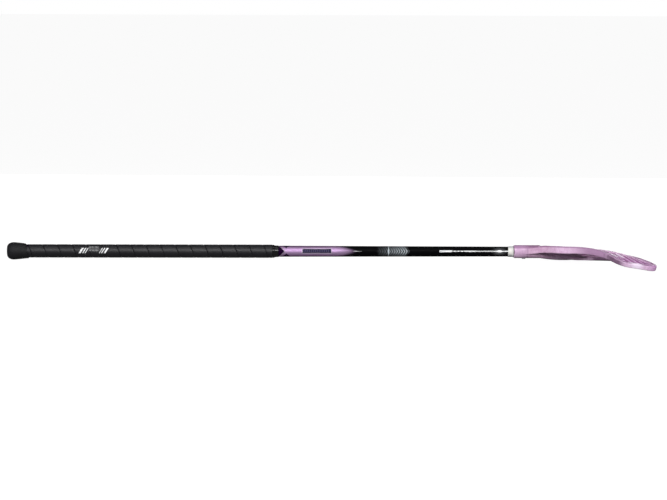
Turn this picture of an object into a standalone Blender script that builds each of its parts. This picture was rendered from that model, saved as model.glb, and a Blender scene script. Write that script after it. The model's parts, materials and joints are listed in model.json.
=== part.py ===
"""A floorball stick, built piece by piece and laid on its side as it rests on a floor.

Every piece is modelled in the stick's own frame: X runs along the shaft from the butt
to the blade, -Y is forward, where the blade points, and +Z is the back of the blade.
The last step tips that frame so that the knob, the heel and the toe touch Z = 0.
"""

import math

import bmesh
import bpy
from mathutils import Matrix, Vector

MM = 0.001

# Shaft: a parallel upper half, then a straight taper down to the blade.
SHAFT_LENGTH = 960 * MM
SHAFT_TOP_DIAMETER = 20.2 * MM
SHAFT_TIP_DIAMETER = 17.6 * MM
SHAFT_WALL = 1.5 * MM
TAPER_START = 498 * MM

# Clearance between pieces that seat in, on or against each other.
SEAT_GAP = 0.25 * MM

# Rubber knob over the butt end.
KNOB_DIAMETER = 31.2 * MM
KNOB_FACE_DIAMETER = 15 * MM
KNOB_BELLY_AT = 13 * MM
KNOB_LENGTH = 37 * MM
KNOB_LIP_DIAMETER = 25.2 * MM
KNOB_SKIN = 3.2 * MM
KNOB_VENT_DIAMETER = 3 * MM

# Plug pressed into the butt end of the shaft.
PLUG_DEPTH = 32 * MM
PLUG_WALL = 1.6 * MM
PLUG_FLANGE = 1.6 * MM
PLUG_RIBS = 3

# Grip tape wound round the upper half, and the tape that binds its end.
GRIP_DIAMETER = 23.5 * MM
GRIP_END = 483 * MM
GRIP_PITCH = 26.7 * MM
GRIP_SEAM = 0.5 * MM
GRIP_EDGE_DROP = 0.5 * MM
GRIP_EDGE_WIDTH = 1.6 * MM
BINDING_LENGTH = 10.4 * MM
BINDING_SHOULDER = 3.6 * MM
BINDING_THICKNESS = 0.35 * MM

# White sleeve that packs the shaft into the blade's socket.
SLEEVE_WALL = 0.5 * MM
SLEEVE_SHOWING = 9.8 * MM
SLEEVE_DEPTH = 38 * MM
SLEEVE_LIP_WIDTH = 2.0 * MM
SLEEVE_LIP_HEIGHT = 0.6 * MM

# Socket of the blade. Its mouth is set back at the front and at the back.
SOCKET_DIAMETER = 23.8 * MM
SOCKET_FLOOR = 3 * MM
SOCKET_END_CHAMFER = 0.8 * MM
SOCKET_MOUTH_SETBACK = 1.8 * MM
SOCKET_MOUTH_CHAMFER = 0.8 * MM
INSERT_DEPTH = 45 * MM

# Outline of the blade, in its own plane. The sole meets the shaft's axis at SOLE_AT from
# the mouth and leaves it at LIE_ANGLE; heights are measured from the sole.
LIE_ANGLE = math.radians(63.7)
SOLE_AT = 141.2 * MM
BLADE_LENGTH = 240.5 * MM
HEIGHT_AT_NECK = 86 * MM
HEIGHT_AT_TOE = 86 * MM
NECK_RADIUS = 58 * MM
TOE_TOP_RADIUS = 21 * MM
TOE_LOW_RADIUS = 23.5 * MM
HEEL_RADIUS = 26.5 * MM

# Dish of the blade: the face opens towards the sole, its middle bows to the back, and the
# toe hooks forward, most of all at its top.
FACE_LIFT = 2.8 * MM
OPEN_AT_HEEL = math.radians(9.4)
OPEN_AT_TOE = math.radians(11.6)
BOW_DEPTH = 5.2 * MM
HOOK_DEPTH = 18.9 * MM
HOOK_POWER = 4.0
HOOK_SKEW = 0.33

# Rim, ribs, ties and web of the blade.
RIM_WIDTH = 8 * MM
RIM_DEPTH_AT_NECK = 13.4 * MM
RIM_DEPTH_AT_TOE = 9.8 * MM
RIM_DEPTH_AT_TIP = 8 * MM
RIM_ROUND = 2.0 * MM
RIM_SINK = 1.6 * MM
RIB_COUNT = 5
RIB_WIDTH = 3.6 * MM
RIB_DEPTH = 6.6 * MM
RIB_ROUND = 0.9 * MM
RIB_ROOT = 10 * MM
RIB_RISE = 16 * MM
TIE_PLACES = (84 * MM, 150 * MM)
TIE_LEAN = math.radians(14)
TIE_WIDTH = 4.4 * MM
WEB_DEPTH = 4.4 * MM
WEB_AT_SOLE = 14 * MM
WEB_AT_TOP = 56 * MM
WEB_HOLLOW = 9 * MM
SPINE_SHOULDER = 0.3 * MM
SPINE_SQUARENESS = 0.4
SPINE_SAG = 2.5 * MM
SOLE_FLAT = 0.5 * MM

# Screw through the socket into the shaft.
SCREW_AT = 18.5 * MM
SCREW_DIAMETER = 3.5 * MM
SCREW_HEAD_DIAMETER = 7 * MM
SCREW_HEAD_HEIGHT = 2.1 * MM
SCREW_SEAT_DEPTH = 1.0 * MM
SCREW_LENGTH = 8.5 * MM
SCREW_SLOT_WIDTH = 1.1 * MM
SCREW_SLOT_DEPTH = 1.1 * MM

# Fineness of the round shapes.
SEGMENTS = 48
HIDDEN_SEGMENTS = 32
GRIP_STEPS = 24
PATH_STEP = 10 * MM
ARC_STEP = 4.5 * MM
RIB_STEP = 12 * MM

# Places that follow from the sizes above, measured along the shaft from the knob's face.
SHAFT_START = KNOB_SKIN + PLUG_FLANGE + 2 * SEAT_GAP
SHAFT_END = SHAFT_START + SHAFT_LENGTH
MOUTH = SHAFT_END - INSERT_DEPTH
GRIP_START = KNOB_LENGTH + SEAT_GAP
BINDING_START = GRIP_END + SEAT_GAP
BINDING_END = BINDING_START + BINDING_LENGTH
SOCKET_RADIUS = SOCKET_DIAMETER / 2
SOCKET_LENGTH = INSERT_DEPTH + SEAT_GAP


def shaft_radius(x):
    """Outer radius of the shaft at x."""
    share = min(1, max(0, (x - TAPER_START) / (SHAFT_END - TAPER_START)))
    return (SHAFT_TOP_DIAMETER + share * (SHAFT_TIP_DIAMETER - SHAFT_TOP_DIAMETER)) / 2


def finish(name, material, mesh_maker):
    """Makes the object name from the bmesh that mesh_maker fills."""
    mesh = bpy.data.meshes.new(name)
    made = bmesh.new()
    mesh_maker(made)
    bmesh.ops.recalc_face_normals(made, faces=made.faces)
    made.to_mesh(mesh)
    made.free()
    mesh.shade_smooth()
    mesh.set_sharp_from_angle(angle=math.radians(35))
    piece = bpy.data.objects.new(name, mesh)
    piece.data.materials.append(material)
    bpy.context.scene.collection.objects.link(piece)
    return piece


def plastic(name, colour, roughness, metallic=0.0):
    """A Principled material."""
    material = bpy.data.materials.new(name)
    material.use_nodes = True
    shader = material.node_tree.nodes["Principled BSDF"]
    shader.inputs["Base Color"].default_value = (*colour, 1)
    shader.inputs["Roughness"].default_value = roughness
    shader.inputs["Metallic"].default_value = metallic
    material.diffuse_color = (*colour, 1)
    return material


def turned(made, profile, closed=True, segments=SEGMENTS):
    """Spins a profile of (x, radius) points round the X axis."""
    points = [made.verts.new((x, 0, radius)) for x, radius in profile]
    ends = zip(points, points[1:] + points[:1] if closed else points[1:])
    edges = [made.edges.new(pair) for pair in ends]
    bmesh.ops.spin(
        made,
        geom=points + edges,
        cent=(0, 0, 0),
        axis=(1, 0, 0),
        angle=math.tau,
        steps=segments,
        use_merge=True,
    )
    bmesh.ops.remove_doubles(made, verts=made.verts, dist=0.001 * MM)


def swept(made, sections):
    """Joins sections, each a ring of as many points, into a bar with closed ends."""
    rings = [[made.verts.new(point) for point in section] for section in sections]
    for first, second in zip(rings, rings[1:]):
        for i in range(len(first)):
            j = (i + 1) % len(first)
            made.faces.new((first[i], first[j], second[j], second[i]))
    made.faces.new(rings[0])
    made.faces.new(list(reversed(rings[-1])))


def rounded_box(width, depth, radius, steps):
    """A width by depth rectangle whose corners are rounded by radius in so many steps."""
    half_w, half_d = width / 2 - radius, depth / 2 - radius
    quarter = []
    for i in range(steps + 1):
        turn = math.radians(90) * i / steps
        quarter.append((half_w + radius * math.cos(turn), half_d + radius * math.sin(turn)))
    mirrored = [(-w, d) for w, d in reversed(quarter)]
    return quarter + mirrored + [(-w, -d) for w, d in quarter + mirrored]


def joined(target, operation, *others):
    """Adds a Boolean to target for each of the others, which become helpers."""
    for other in others:
        other.hide_render = True
        other.display_type = "WIRE"
        boolean = target.modifiers.new(other.name, "BOOLEAN")
        boolean.operation = operation
        boolean.solver = "EXACT"
        boolean.object = other


def upright_drum(name, x, radius, low, high, segments=24):
    """A helper cylinder along Z between low and high, centred on the shaft's axis at x."""

    def fill(made):
        place = Matrix.Translation((x, 0, (low + high) / 2))
        place = place @ Matrix.Rotation(math.pi / segments, 4, "Z")
        bmesh.ops.create_cone(
            made,
            cap_ends=True,
            segments=segments,
            radius1=radius,
            radius2=radius,
            depth=high - low,
            matrix=place,
        )

    return finish(name, bpy.data.materials["helper"], fill)


def build_shaft(material):
    """The composite tube, with the screw's pilot hole near its tip."""
    stations = [SHAFT_START, TAPER_START, SHAFT_END]
    outside = [(x, shaft_radius(x)) for x in stations]
    inside = [(x, shaft_radius(x) - SHAFT_WALL) for x in reversed(stations)]
    shaft = finish("shaft_tube", material, lambda made: turned(made, outside + inside))
    pilot = upright_drum(
        "shaft_pilot",
        MOUTH + SCREW_AT,
        SCREW_DIAMETER / 2 + SEAT_GAP,
        -SHAFT_TOP_DIAMETER,
        -SHAFT_TIP_DIAMETER / 4,
    )
    joined(shaft, "DIFFERENCE", pilot)
    return shaft


def build_end_plug(material):
    """A flanged cup in the butt of the shaft, with raised rings that grip the bore."""
    bore = shaft_radius(SHAFT_START) - SHAFT_WALL
    ring = bore - SEAT_GAP
    body = ring - 2 * SEAT_GAP
    face = KNOB_SKIN + SEAT_GAP
    tip = SHAFT_START + PLUG_DEPTH
    outside = [(face, shaft_radius(SHAFT_START)), (face + PLUG_FLANGE, shaft_radius(SHAFT_START))]
    outside.append((face + PLUG_FLANGE, body))
    pitch = PLUG_DEPTH / (PLUG_RIBS + 1)
    for i in range(PLUG_RIBS):
        middle = SHAFT_START + pitch * (i + 1)
        outside += [(middle - pitch / 4, body), (middle - pitch / 8, ring)]
        outside += [(middle + pitch / 8, ring), (middle + pitch / 4, body)]
    outside += [(tip - PLUG_WALL, body), (tip, body - PLUG_WALL / 2)]
    inside = [(tip, body - PLUG_WALL), (face + PLUG_FLANGE + PLUG_WALL, body - PLUG_WALL)]
    inside.append((face + PLUG_FLANGE + PLUG_WALL, 0))
    profile = [(face, 0)] + outside + inside
    return finish(
        "end_plug",
        material,
        lambda made: turned(made, profile, closed=False, segments=HIDDEN_SEGMENTS),
    )


def knob_profile():
    """Outside of the knob: a flat face, a quarter ellipse to the belly, a long taper."""
    face, belly = KNOB_FACE_DIAMETER / 2, KNOB_DIAMETER / 2
    lip = KNOB_LIP_DIAMETER / 2
    points = []
    for i in range(9):
        turn = math.radians(90) * i / 8
        points.append(
            (KNOB_BELLY_AT * (1 - math.cos(turn)), face + (belly - face) * math.sin(turn))
        )
    bend = KNOB_BELLY_AT + 0.2 * (KNOB_LENGTH - KNOB_BELLY_AT)
    for i in range(1, 7):
        s = i / 6
        x = (1 - s) ** 2 * KNOB_BELLY_AT + 2 * s * (1 - s) * bend + s**2 * KNOB_LENGTH
        points.append((x, (1 - s**2) * belly + s**2 * lip))
    return points


def build_knob(material):
    """The rubber cap over the butt: it closes on the shaft and has a small vent hole."""
    bore = shaft_radius(SHAFT_START) + SEAT_GAP
    inside = [(KNOB_LENGTH, bore), (KNOB_SKIN, bore), (KNOB_SKIN, KNOB_VENT_DIAMETER / 2)]
    profile = knob_profile() + inside + [(0, KNOB_VENT_DIAMETER / 2)]
    return finish("butt_knob", material, lambda made: turned(made, profile))


def least_gap(sections, steps):
    """The least distance between points of sections that lie about one turn apart."""
    least = math.inf
    for i in range(len(sections) - steps - 1):
        for j in (i + steps - 1, i + steps, i + steps + 1):
            for point in sections[i]:
                least = min(least, min((point - other).length for other in sections[j]))
    return least


def build_grip(material):
    """The grip tape: one band wound edge to edge, its first and last turns cut to a wedge."""
    inner = SHAFT_TOP_DIAMETER / 2 + SEAT_GAP
    outer = GRIP_DIAMETER / 2
    narrowest = 2.2 * GRIP_EDGE_WIDTH
    turns = (GRIP_END - GRIP_START) / GRIP_PITCH + 1
    first = narrowest / GRIP_PITCH
    last = turns - (narrowest + GRIP_SEAM) / GRIP_PITCH
    count = math.ceil((last - first) * GRIP_STEPS)
    sections = []
    for i in range(count + 1):
        wound = first + (last - first) * i / count
        right = min(GRIP_START + GRIP_PITCH * wound, GRIP_END)
        left = max(GRIP_START + GRIP_PITCH * (wound - 1) + GRIP_SEAM, GRIP_START)
        band = [
            (left, inner),
            (left, outer - GRIP_EDGE_DROP),
            (left + GRIP_EDGE_WIDTH, outer),
            (right - GRIP_EDGE_WIDTH, outer),
            (right, outer - GRIP_EDGE_DROP),
            (right, inner),
        ]
        turn = Matrix.Rotation(math.tau * wound, 3, "X")
        sections.append([turn @ Vector((x, 0, radius)) for x, radius in band])
    gap = least_gap(sections, GRIP_STEPS)
    print(f"grip band: {turns:.2f} turns, least gap to itself {gap / MM:.2f} mm")
    return finish("grip_wrap", material, lambda made: swept(made, sections))


def build_binding(material):
    """The tape that binds the grip's end: thick over its edge, thin on the bare shaft."""
    bore = SHAFT_TOP_DIAMETER / 2 + SEAT_GAP
    thin = bore + BINDING_THICKNESS
    thick = GRIP_DIAMETER / 2
    shoulder = BINDING_START + BINDING_SHOULDER
    profile = [
        (BINDING_START, bore),
        (BINDING_START, thick - BINDING_THICKNESS),
        (BINDING_START + BINDING_THICKNESS, thick),
        ((BINDING_START + shoulder) / 2, thick - 0.25 * (thick - thin)),
        (shoulder, thin + 0.15 * (thick - thin)),
        (shoulder + BINDING_SHOULDER / 3, thin),
        (BINDING_END, thin),
        (BINDING_END, bore),
    ]
    return finish("grip_binding", material, lambda made: turned(made, profile))


def sleeve_bore():
    """Inner radius of the fitting sleeve, clear of the shaft where that is widest."""
    return shaft_radius(MOUTH - SLEEVE_SHOWING) + SEAT_GAP


def socket_bore():
    """Inner radius of the blade's socket."""
    return sleeve_bore() + SLEEVE_WALL + SEAT_GAP


def build_sleeve(material):
    """The white fitting sleeve: its lip stands against the socket's mouth."""
    bore, outer = sleeve_bore(), sleeve_bore() + SLEEVE_WALL
    lip_end = MOUTH - SEAT_GAP
    lip_start = lip_end - SLEEVE_LIP_WIDTH
    profile = [
        (MOUTH - SLEEVE_SHOWING, bore),
        (MOUTH - SLEEVE_SHOWING, outer),
        (lip_start, outer),
        (lip_start + SLEEVE_LIP_HEIGHT / 2, outer + SLEEVE_LIP_HEIGHT),
        (lip_end, outer + SLEEVE_LIP_HEIGHT),
        (lip_end, outer),
        (MOUTH + SLEEVE_DEPTH, outer),
        (MOUTH + SLEEVE_DEPTH, bore),
    ]
    sleeve = finish("fitting_sleeve", material, lambda made: turned(made, profile))
    hole = upright_drum(
        "sleeve_hole",
        MOUTH + SCREW_AT,
        SCREW_DIAMETER / 2 + SEAT_GAP,
        -SOCKET_DIAMETER,
        -SHAFT_TIP_DIAMETER / 4,
    )
    joined(sleeve, "DIFFERENCE", hole)
    return sleeve


def smooth(share):
    """Eases from 0 to 1 as share does."""
    share = min(1, max(0, share))
    return share * share * (3 - 2 * share)


def in_blade_plane(along, forward):
    """(t, h) on the blade of a point at along from the mouth and forward of the axis."""
    t = (along - SOLE_AT) * math.cos(LIE_ANGLE) + forward * math.sin(LIE_ANGLE)
    h = forward * math.cos(LIE_ANGLE) - (along - SOLE_AT) * math.sin(LIE_ANGLE)
    return Vector((t, h))


def surface(t, h):
    """The point of the blade's middle surface at t along the sole and h above it."""
    along = SOLE_AT + t * math.cos(LIE_ANGLE) - h * math.sin(LIE_ANGLE)
    forward = t * math.sin(LIE_ANGLE) + h * math.cos(LIE_ANGLE)
    share = min(1, max(0, t / BLADE_LENGTH))
    opening = math.tan(OPEN_AT_HEEL + (OPEN_AT_TOE - OPEN_AT_HEEL) * share)
    near_neck = min(1, max(0, h / HEIGHT_AT_NECK))
    clear = smooth(forward / (2 * SOCKET_RADIUS))
    lift = FACE_LIFT * (1 - near_neck * (1 - clear))
    drop = opening * (HEIGHT_AT_NECK - min(h, HEIGHT_AT_NECK))
    bow = BOW_DEPTH * math.sin(math.pi * near_neck) * math.sin(math.pi * share)
    hook = HOOK_DEPTH * max(0, t / BLADE_LENGTH) ** HOOK_POWER * (1 + HOOK_SKEW * near_neck)
    return Vector((MOUTH + along, -forward, lift - drop + bow - hook))


def surface_normal(t, h):
    """The unit normal of the middle surface, on the blade's back."""
    step = 0.5 * MM
    along_t = surface(t + step, h) - surface(t - step, h)
    along_h = surface(t, h + step) - surface(t, h - step)
    normal = along_t.cross(along_h).normalized()
    return normal if normal.z > 0 else -normal


def crossing(first, second):
    """Where two lines, each (point, direction) in the blade's plane, meet."""
    (p, d), (q, e) = first, second
    scale = d.x * e.y - d.y * e.x
    reach = ((q.x - p.x) * e.y - (q.y - p.y) * e.x) / scale
    return p + d * reach


def rounded_path(start, corners, end):
    """Points every PATH_STEP or so from start to end, with each (corner, radius) rounded."""
    marks = [start] + [corner for corner, _ in corners] + [end]
    path = [start]
    for i, (corner, radius) in enumerate(corners):
        back = (marks[i] - corner).normalized()
        ahead = (marks[i + 2] - corner).normalized()
        half = math.acos(max(-1, min(1, back.dot(ahead)))) / 2
        centre = corner + (back + ahead).normalized() * (radius / math.sin(half))
        leave = corner + back * (radius / math.tan(half))
        spoke = leave - centre
        sweep = math.pi - 2 * half
        if back.x * ahead.y - back.y * ahead.x > 0:
            sweep = -sweep
        add_straight(path, leave)
        count = max(2, math.ceil(abs(sweep) * radius / ARC_STEP))
        for k in range(1, count + 1):
            path.append(centre + Matrix.Rotation(sweep * k / count, 2) @ spoke)
    add_straight(path, end)
    return path


def add_straight(path, goal, step=PATH_STEP):
    """Carries path on to goal in even steps."""
    start = path[-1]
    count = max(1, math.ceil((goal - start).length / step))
    path.extend(start.lerp(goal, k / count) for k in range(1, count + 1))


def rim_path():
    """The middle of the rim: neck, top edge, toe, sole and heel, ending up the back."""
    half = RIM_WIDTH / 2
    shaft_way = in_blade_plane(1, 0) - in_blade_plane(0, 0)
    inset = SOCKET_RADIUS - half - RIM_SINK
    front = (in_blade_plane(0, inset), shaft_way)
    back = (in_blade_plane(0, -inset), shaft_way)
    rise = Vector((BLADE_LENGTH, HEIGHT_AT_TOE - HEIGHT_AT_NECK))
    top = (Vector((0, HEIGHT_AT_NECK - half)), rise)
    toe = (Vector((BLADE_LENGTH - half, 0)), Vector((0, 1)))
    sole = (Vector((0, half)), Vector((1, 0)))
    corners = [
        (crossing(front, top), NECK_RADIUS + half),
        (crossing(top, toe), TOE_TOP_RADIUS - half),
        (crossing(toe, sole), TOE_LOW_RADIUS - half),
        (crossing(sole, back), HEEL_RADIUS - half),
    ]
    start = in_blade_plane(SOCKET_LENGTH / 3, inset)
    end = in_blade_plane(SOCKET_LENGTH + RIM_WIDTH, -inset)
    return rounded_path(start, corners, end)


def rim_depth(t, h):
    """Thickness of the rim at t along the sole and h above it: least at the toe's top."""
    share = min(1, max(0, t / BLADE_LENGTH))
    near_top = min(1, max(0, h / HEIGHT_AT_TOE))
    at_toe = RIM_DEPTH_AT_TOE + (RIM_DEPTH_AT_TIP - RIM_DEPTH_AT_TOE) * near_top
    return RIM_DEPTH_AT_NECK + (at_toe - RIM_DEPTH_AT_NECK) * share**2


def bar_sections(path, width, depth, radius, steps=1):
    """Sections of a bar that follows path on the blade. depth may be a function of (t, h)."""
    points = [surface(p.x, p.y) for p in path]
    sections = []
    for i, (p, point) in enumerate(zip(path, points)):
        ahead = points[min(i + 1, len(points) - 1)] - points[max(i - 1, 0)]
        normal = surface_normal(p.x, p.y)
        side = ahead.cross(normal).normalized()
        thick = depth(p.x, p.y) if callable(depth) else depth
        profile = rounded_box(width, thick, radius, steps)
        sections.append([point + side * a + normal * b for a, b in profile])
    return sections


def build_rim():
    """The bar round the blade's edge."""
    sections = bar_sections(rim_path(), RIM_WIDTH, rim_depth, RIM_ROUND, steps=2)
    return finish("rim", bpy.data.materials["helper"], lambda made: swept(made, sections))


def reach_to_rim(start, way, path, default=0):
    """Where a line from start along way first meets the rim's middle, or else default on."""
    found = []
    for a, b in zip(path, path[1:]):
        edge = b - a
        scale = way.x * edge.y - way.y * edge.x
        if abs(scale) < 1e-12:
            continue
        offset = a - start
        far = (offset.x * edge.y - offset.y * edge.x) / scale
        on_edge = (offset.x * way.y - offset.y * way.x) / scale
        if far > 0 and 0 <= on_edge <= 1:
            found.append(far)
    return start + way * min(found, default=default)


def straight_path(start, end):
    """Points every RIB_STEP or so from start to end."""
    path = [start]
    add_straight(path, end, RIB_STEP)
    return path


def web_edge(h):
    """How far along the sole the web reaches at height h."""
    share = min(1, max(0, h / HEIGHT_AT_NECK))
    return WEB_AT_SOLE + (WEB_AT_TOP - WEB_AT_SOLE) * share - WEB_HOLLOW * math.sin(math.pi * share)


def build_ribs():
    """The long ribs, which rise out of the web and fan out a little towards the toe."""
    path = rim_path()
    ribs = []
    for i in range(RIB_COUNT):
        share = (i + 1) / (RIB_COUNT + 1)
        height = RIM_WIDTH / 2 + share * (HEIGHT_AT_NECK - RIM_WIDTH)
        root = Vector((web_edge(height) - RIB_ROOT, height))
        toe_end = Vector((BLADE_LENGTH, RIM_WIDTH / 2 + share * (HEIGHT_AT_TOE - RIM_WIDTH)))
        line = straight_path(root, reach_to_rim(root, (toe_end - root).normalized(), path))

        def depth(t, h, start=root.x):
            buried = WEB_DEPTH - 2 * SEAT_GAP
            return buried + (RIB_DEPTH - buried) * smooth((t - start) / RIB_RISE)

        sections = bar_sections(line, RIB_WIDTH, depth, RIB_ROUND)
        ribs.append(
            finish(
                f"rib_{i + 1}",
                bpy.data.materials["helper"],
                lambda made, rows=sections: swept(made, rows),
            )
        )
    return ribs


def build_ties():
    """The leaning bars that tie the ribs to the rim."""
    path = rim_path()
    lean = Vector((math.sin(TIE_LEAN), math.cos(TIE_LEAN)))
    ties = []
    for i, place in enumerate(TIE_PLACES):
        foot = Vector((place, RIM_WIDTH / 2))
        head = reach_to_rim(foot + lean * RIM_WIDTH, lean, path)
        line = straight_path(foot, head)
        sections = bar_sections(line, TIE_WIDTH, RIB_DEPTH - 2 * SEAT_GAP, RIB_ROUND)
        ties.append(
            finish(
                f"tie_{i + 1}",
                bpy.data.materials["helper"],
                lambda made, rows=sections: swept(made, rows),
            )
        )
    return ties


def build_web():
    """The thin plate that fills the corner between the spine, the rim and the first slots."""
    rows = 12
    columns = 6
    path = rim_path()
    inset = SOCKET_RADIUS - RIM_WIDTH / 2 - RIM_SINK
    low = 0.75 * RIM_WIDTH
    high = in_blade_plane(SOCKET_LENGTH, SOCKET_RADIUS).y
    sections = []
    for i in range(rows + 1):
        h = low + (high - low) * i / rows
        behind = -(inset + h * math.cos(LIE_ANGLE)) / math.sin(LIE_ANGLE)
        inside = Vector((behind + 2 * RIM_WIDTH, h))
        left = reach_to_rim(inside, Vector((-1, 0)), path, default=inside.x - behind).x
        right = min(web_edge(h), reach_to_rim(inside, Vector((1, 0)), path).x)
        upper, lower = [], []
        for k in range(columns + 1):
            t = left + (right - left) * k / columns
            offset = surface_normal(t, h) * (WEB_DEPTH / 2)
            upper.append(surface(t, h) + offset)
            lower.append(surface(t, h) - offset)
        sections.append(upper + lower[::-1])
    return finish("web", bpy.data.materials["helper"], lambda made: swept(made, sections))


def build_spine():
    """The thick back of the blade: round below the socket, it narrows into the heel's rim."""
    begin, end = SOCKET_LENGTH, SOLE_AT - HEEL_RADIUS
    inset = SOCKET_RADIUS - RIM_WIDTH / 2 - RIM_SINK
    full = SOCKET_RADIUS - SPINE_SHOULDER
    across_end, thick_end = RIM_WIDTH / 2 - RIM_SINK, rim_depth(0, 0) / 2 - RIM_SINK
    count = 12
    sections = []
    for i in range(count + 1):
        share = i / count
        plane = in_blade_plane(begin + (end - begin) * share, -inset * smooth(share))
        middle = surface(plane.x, plane.y)
        middle.z -= SPINE_SAG * math.sin(math.pi * share)
        across = full + (across_end - full) * share
        thick = full + (thick_end - full) * share
        power = 1 - SPINE_SQUARENESS * share
        ring = []
        for k in range(SEGMENTS // 2):
            turn = math.tau * k / (SEGMENTS // 2)
            side = math.copysign(abs(math.cos(turn)) ** power, math.cos(turn))
            rise = math.copysign(abs(math.sin(turn)) ** power, math.sin(turn))
            ring.append(middle + Vector((0, across * side, thick * rise)))
        sections.append(ring)
    return finish("spine", bpy.data.materials["helper"], lambda made: swept(made, sections))


def build_socket():
    """The round socket before it is bored, with its mouth set back fore and aft."""
    outer = SOCKET_RADIUS
    end = MOUTH + SOCKET_LENGTH + SOCKET_FLOOR
    profile = [
        (MOUTH, 0),
        (MOUTH, outer - SOCKET_MOUTH_CHAMFER),
        (MOUTH + SOCKET_MOUTH_CHAMFER, outer),
        (end - SOCKET_END_CHAMFER, outer),
        (end, outer - SOCKET_END_CHAMFER),
        (end, 0),
    ]

    def fill(made):
        turned(made, profile, closed=False)
        for vert in made.verts:
            if vert.co.x < MOUTH + 1.5 * SOCKET_MOUTH_CHAMFER:
                vert.co.x += SOCKET_MOUTH_SETBACK * (vert.co.y / outer) ** 2

    return finish("blade", bpy.data.materials["helper"], fill)


def box_between(name, low, high):
    """A helper box between two corners."""

    def fill(made):
        size = Vector(high) - Vector(low)
        place = Matrix.Translation((Vector(high) + Vector(low)) / 2)
        bmesh.ops.create_cube(made, size=1, matrix=place @ Matrix.Diagonal((*size, 1)))

    return finish(name, bpy.data.materials["helper"], fill)


def sole_cutter():
    """A box below the sole, turned to it, that cuts a true flat along the whole sole."""
    length, depth = 2 * BLADE_LENGTH, 4 * RIM_WIDTH
    cutter = box_between("sole_cutter", (-length, -length, -depth), (length, length, 0))
    heel = surface(0, SOLE_FLAT)
    along = surface(1, 0) - surface(0, 0)
    along.z = 0
    upward = Vector((-math.sin(LIE_ANGLE), -math.cos(LIE_ANGLE), 0))
    turn = Matrix((along.normalized(), upward.cross(along.normalized()), upward)).transposed()
    heel.z = 0
    cutter.matrix_world = Matrix.Translation(heel) @ turn.to_4x4()
    return cutter


def build_blade(material):
    """Socket, spine, rim, web, ribs and ties moulded in one, then bored and trimmed."""
    blade = build_socket()
    blade.data.materials[0] = material
    joined(blade, "UNION", build_spine(), build_rim(), build_web(), *build_ribs(), *build_ties())
    bore = socket_bore()

    def fill(made):
        start, end = MOUTH - SOCKET_LENGTH / 4, MOUTH + SOCKET_LENGTH
        turned(made, [(start, 0), (start, bore), (end, bore), (end, 0)], closed=False)

    bore_cutter = finish("socket_bore", bpy.data.materials["helper"], fill)
    place = MOUTH + SCREW_AT
    hole = upright_drum(
        "screw_hole", place, SCREW_DIAMETER / 2 + SEAT_GAP, -SOCKET_DIAMETER, -bore / 2
    )
    seat = upright_drum(
        "screw_seat",
        place,
        SCREW_HEAD_DIAMETER / 2 + SEAT_GAP,
        -SOCKET_DIAMETER,
        SCREW_SEAT_DEPTH - SOCKET_RADIUS,
    )
    joined(blade, "DIFFERENCE", bore_cutter, hole, seat, sole_cutter())
    return blade


def build_screw(material):
    """A slotted pan-head screw, driven from the open side of the blade into the shaft."""
    seat = SCREW_SEAT_DEPTH - SOCKET_RADIUS - SEAT_GAP
    head, shank = SCREW_HEAD_DIAMETER / 2, SCREW_DIAMETER / 2
    tip = seat + SCREW_LENGTH
    low = seat - SCREW_HEAD_HEIGHT
    profile = [(low, 0)]
    for i in range(5):
        turn = math.radians(90) * (i + 1) / 5
        dome = 0.6 * SCREW_HEAD_HEIGHT
        profile.append((low + dome * (1 - math.cos(turn)), head * (0.45 + 0.55 * math.sin(turn))))
    profile += [(seat, head), (seat, shank), (tip - 2 * shank, shank), (tip, 0)]

    def fill(made):
        points = [made.verts.new((radius, 0, z)) for z, radius in profile]
        edges = [made.edges.new(pair) for pair in zip(points, points[1:])]
        bmesh.ops.spin(
            made,
            geom=points + edges,
            cent=(0, 0, 0),
            axis=(0, 0, 1),
            angle=math.tau,
            steps=SEGMENTS // 2,
            use_merge=True,
        )
        bmesh.ops.remove_doubles(made, verts=made.verts, dist=0.001 * MM)
        bmesh.ops.translate(made, verts=made.verts, vec=(MOUTH + SCREW_AT, 0, 0))

    screw = finish("blade_screw", material, fill)
    place = MOUTH + SCREW_AT
    slot = box_between(
        "screw_slot",
        (place - head, -SCREW_SLOT_WIDTH / 2, low - SCREW_HEAD_HEIGHT),
        (place + head, SCREW_SLOT_WIDTH / 2, low + SCREW_SLOT_DEPTH),
    )
    joined(screw, "DIFFERENCE", slot)
    return screw


def lowest(points, tilt):
    """The lowest of points once tilt has turned them."""
    return min((tilt @ point for point in points), key=lambda point: point.z)


def resting_tilt(knob, blade):
    """The pose in which the knob, the heel and the toe all touch the floor at Z = 0."""
    graph = bpy.context.evaluated_depsgraph_get()
    groups = {"knob": [v.co.copy() for v in knob.data.vertices], "heel": [], "toe": []}
    for vert in blade.evaluated_get(graph).data.vertices:
        near_toe = -vert.co.y > BLADE_LENGTH / 2
        groups["toe" if near_toe else "heel"].append(vert.co.copy())
    tilt = Matrix.Identity(4)
    for _ in range(20):
        a, b, c = (lowest(groups[name], tilt) for name in ("knob", "heel", "toe"))
        down = (b - a).cross(c - a).normalized()
        if down.z < 0:
            down = -down
        level = down.rotation_difference(Vector((0, 0, 1))).to_matrix().to_4x4()
        tilt = level @ tilt
    drop = lowest(groups["knob"] + groups["heel"] + groups["toe"], tilt).z
    return Matrix.Translation((0, 0, -drop)) @ tilt


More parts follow.
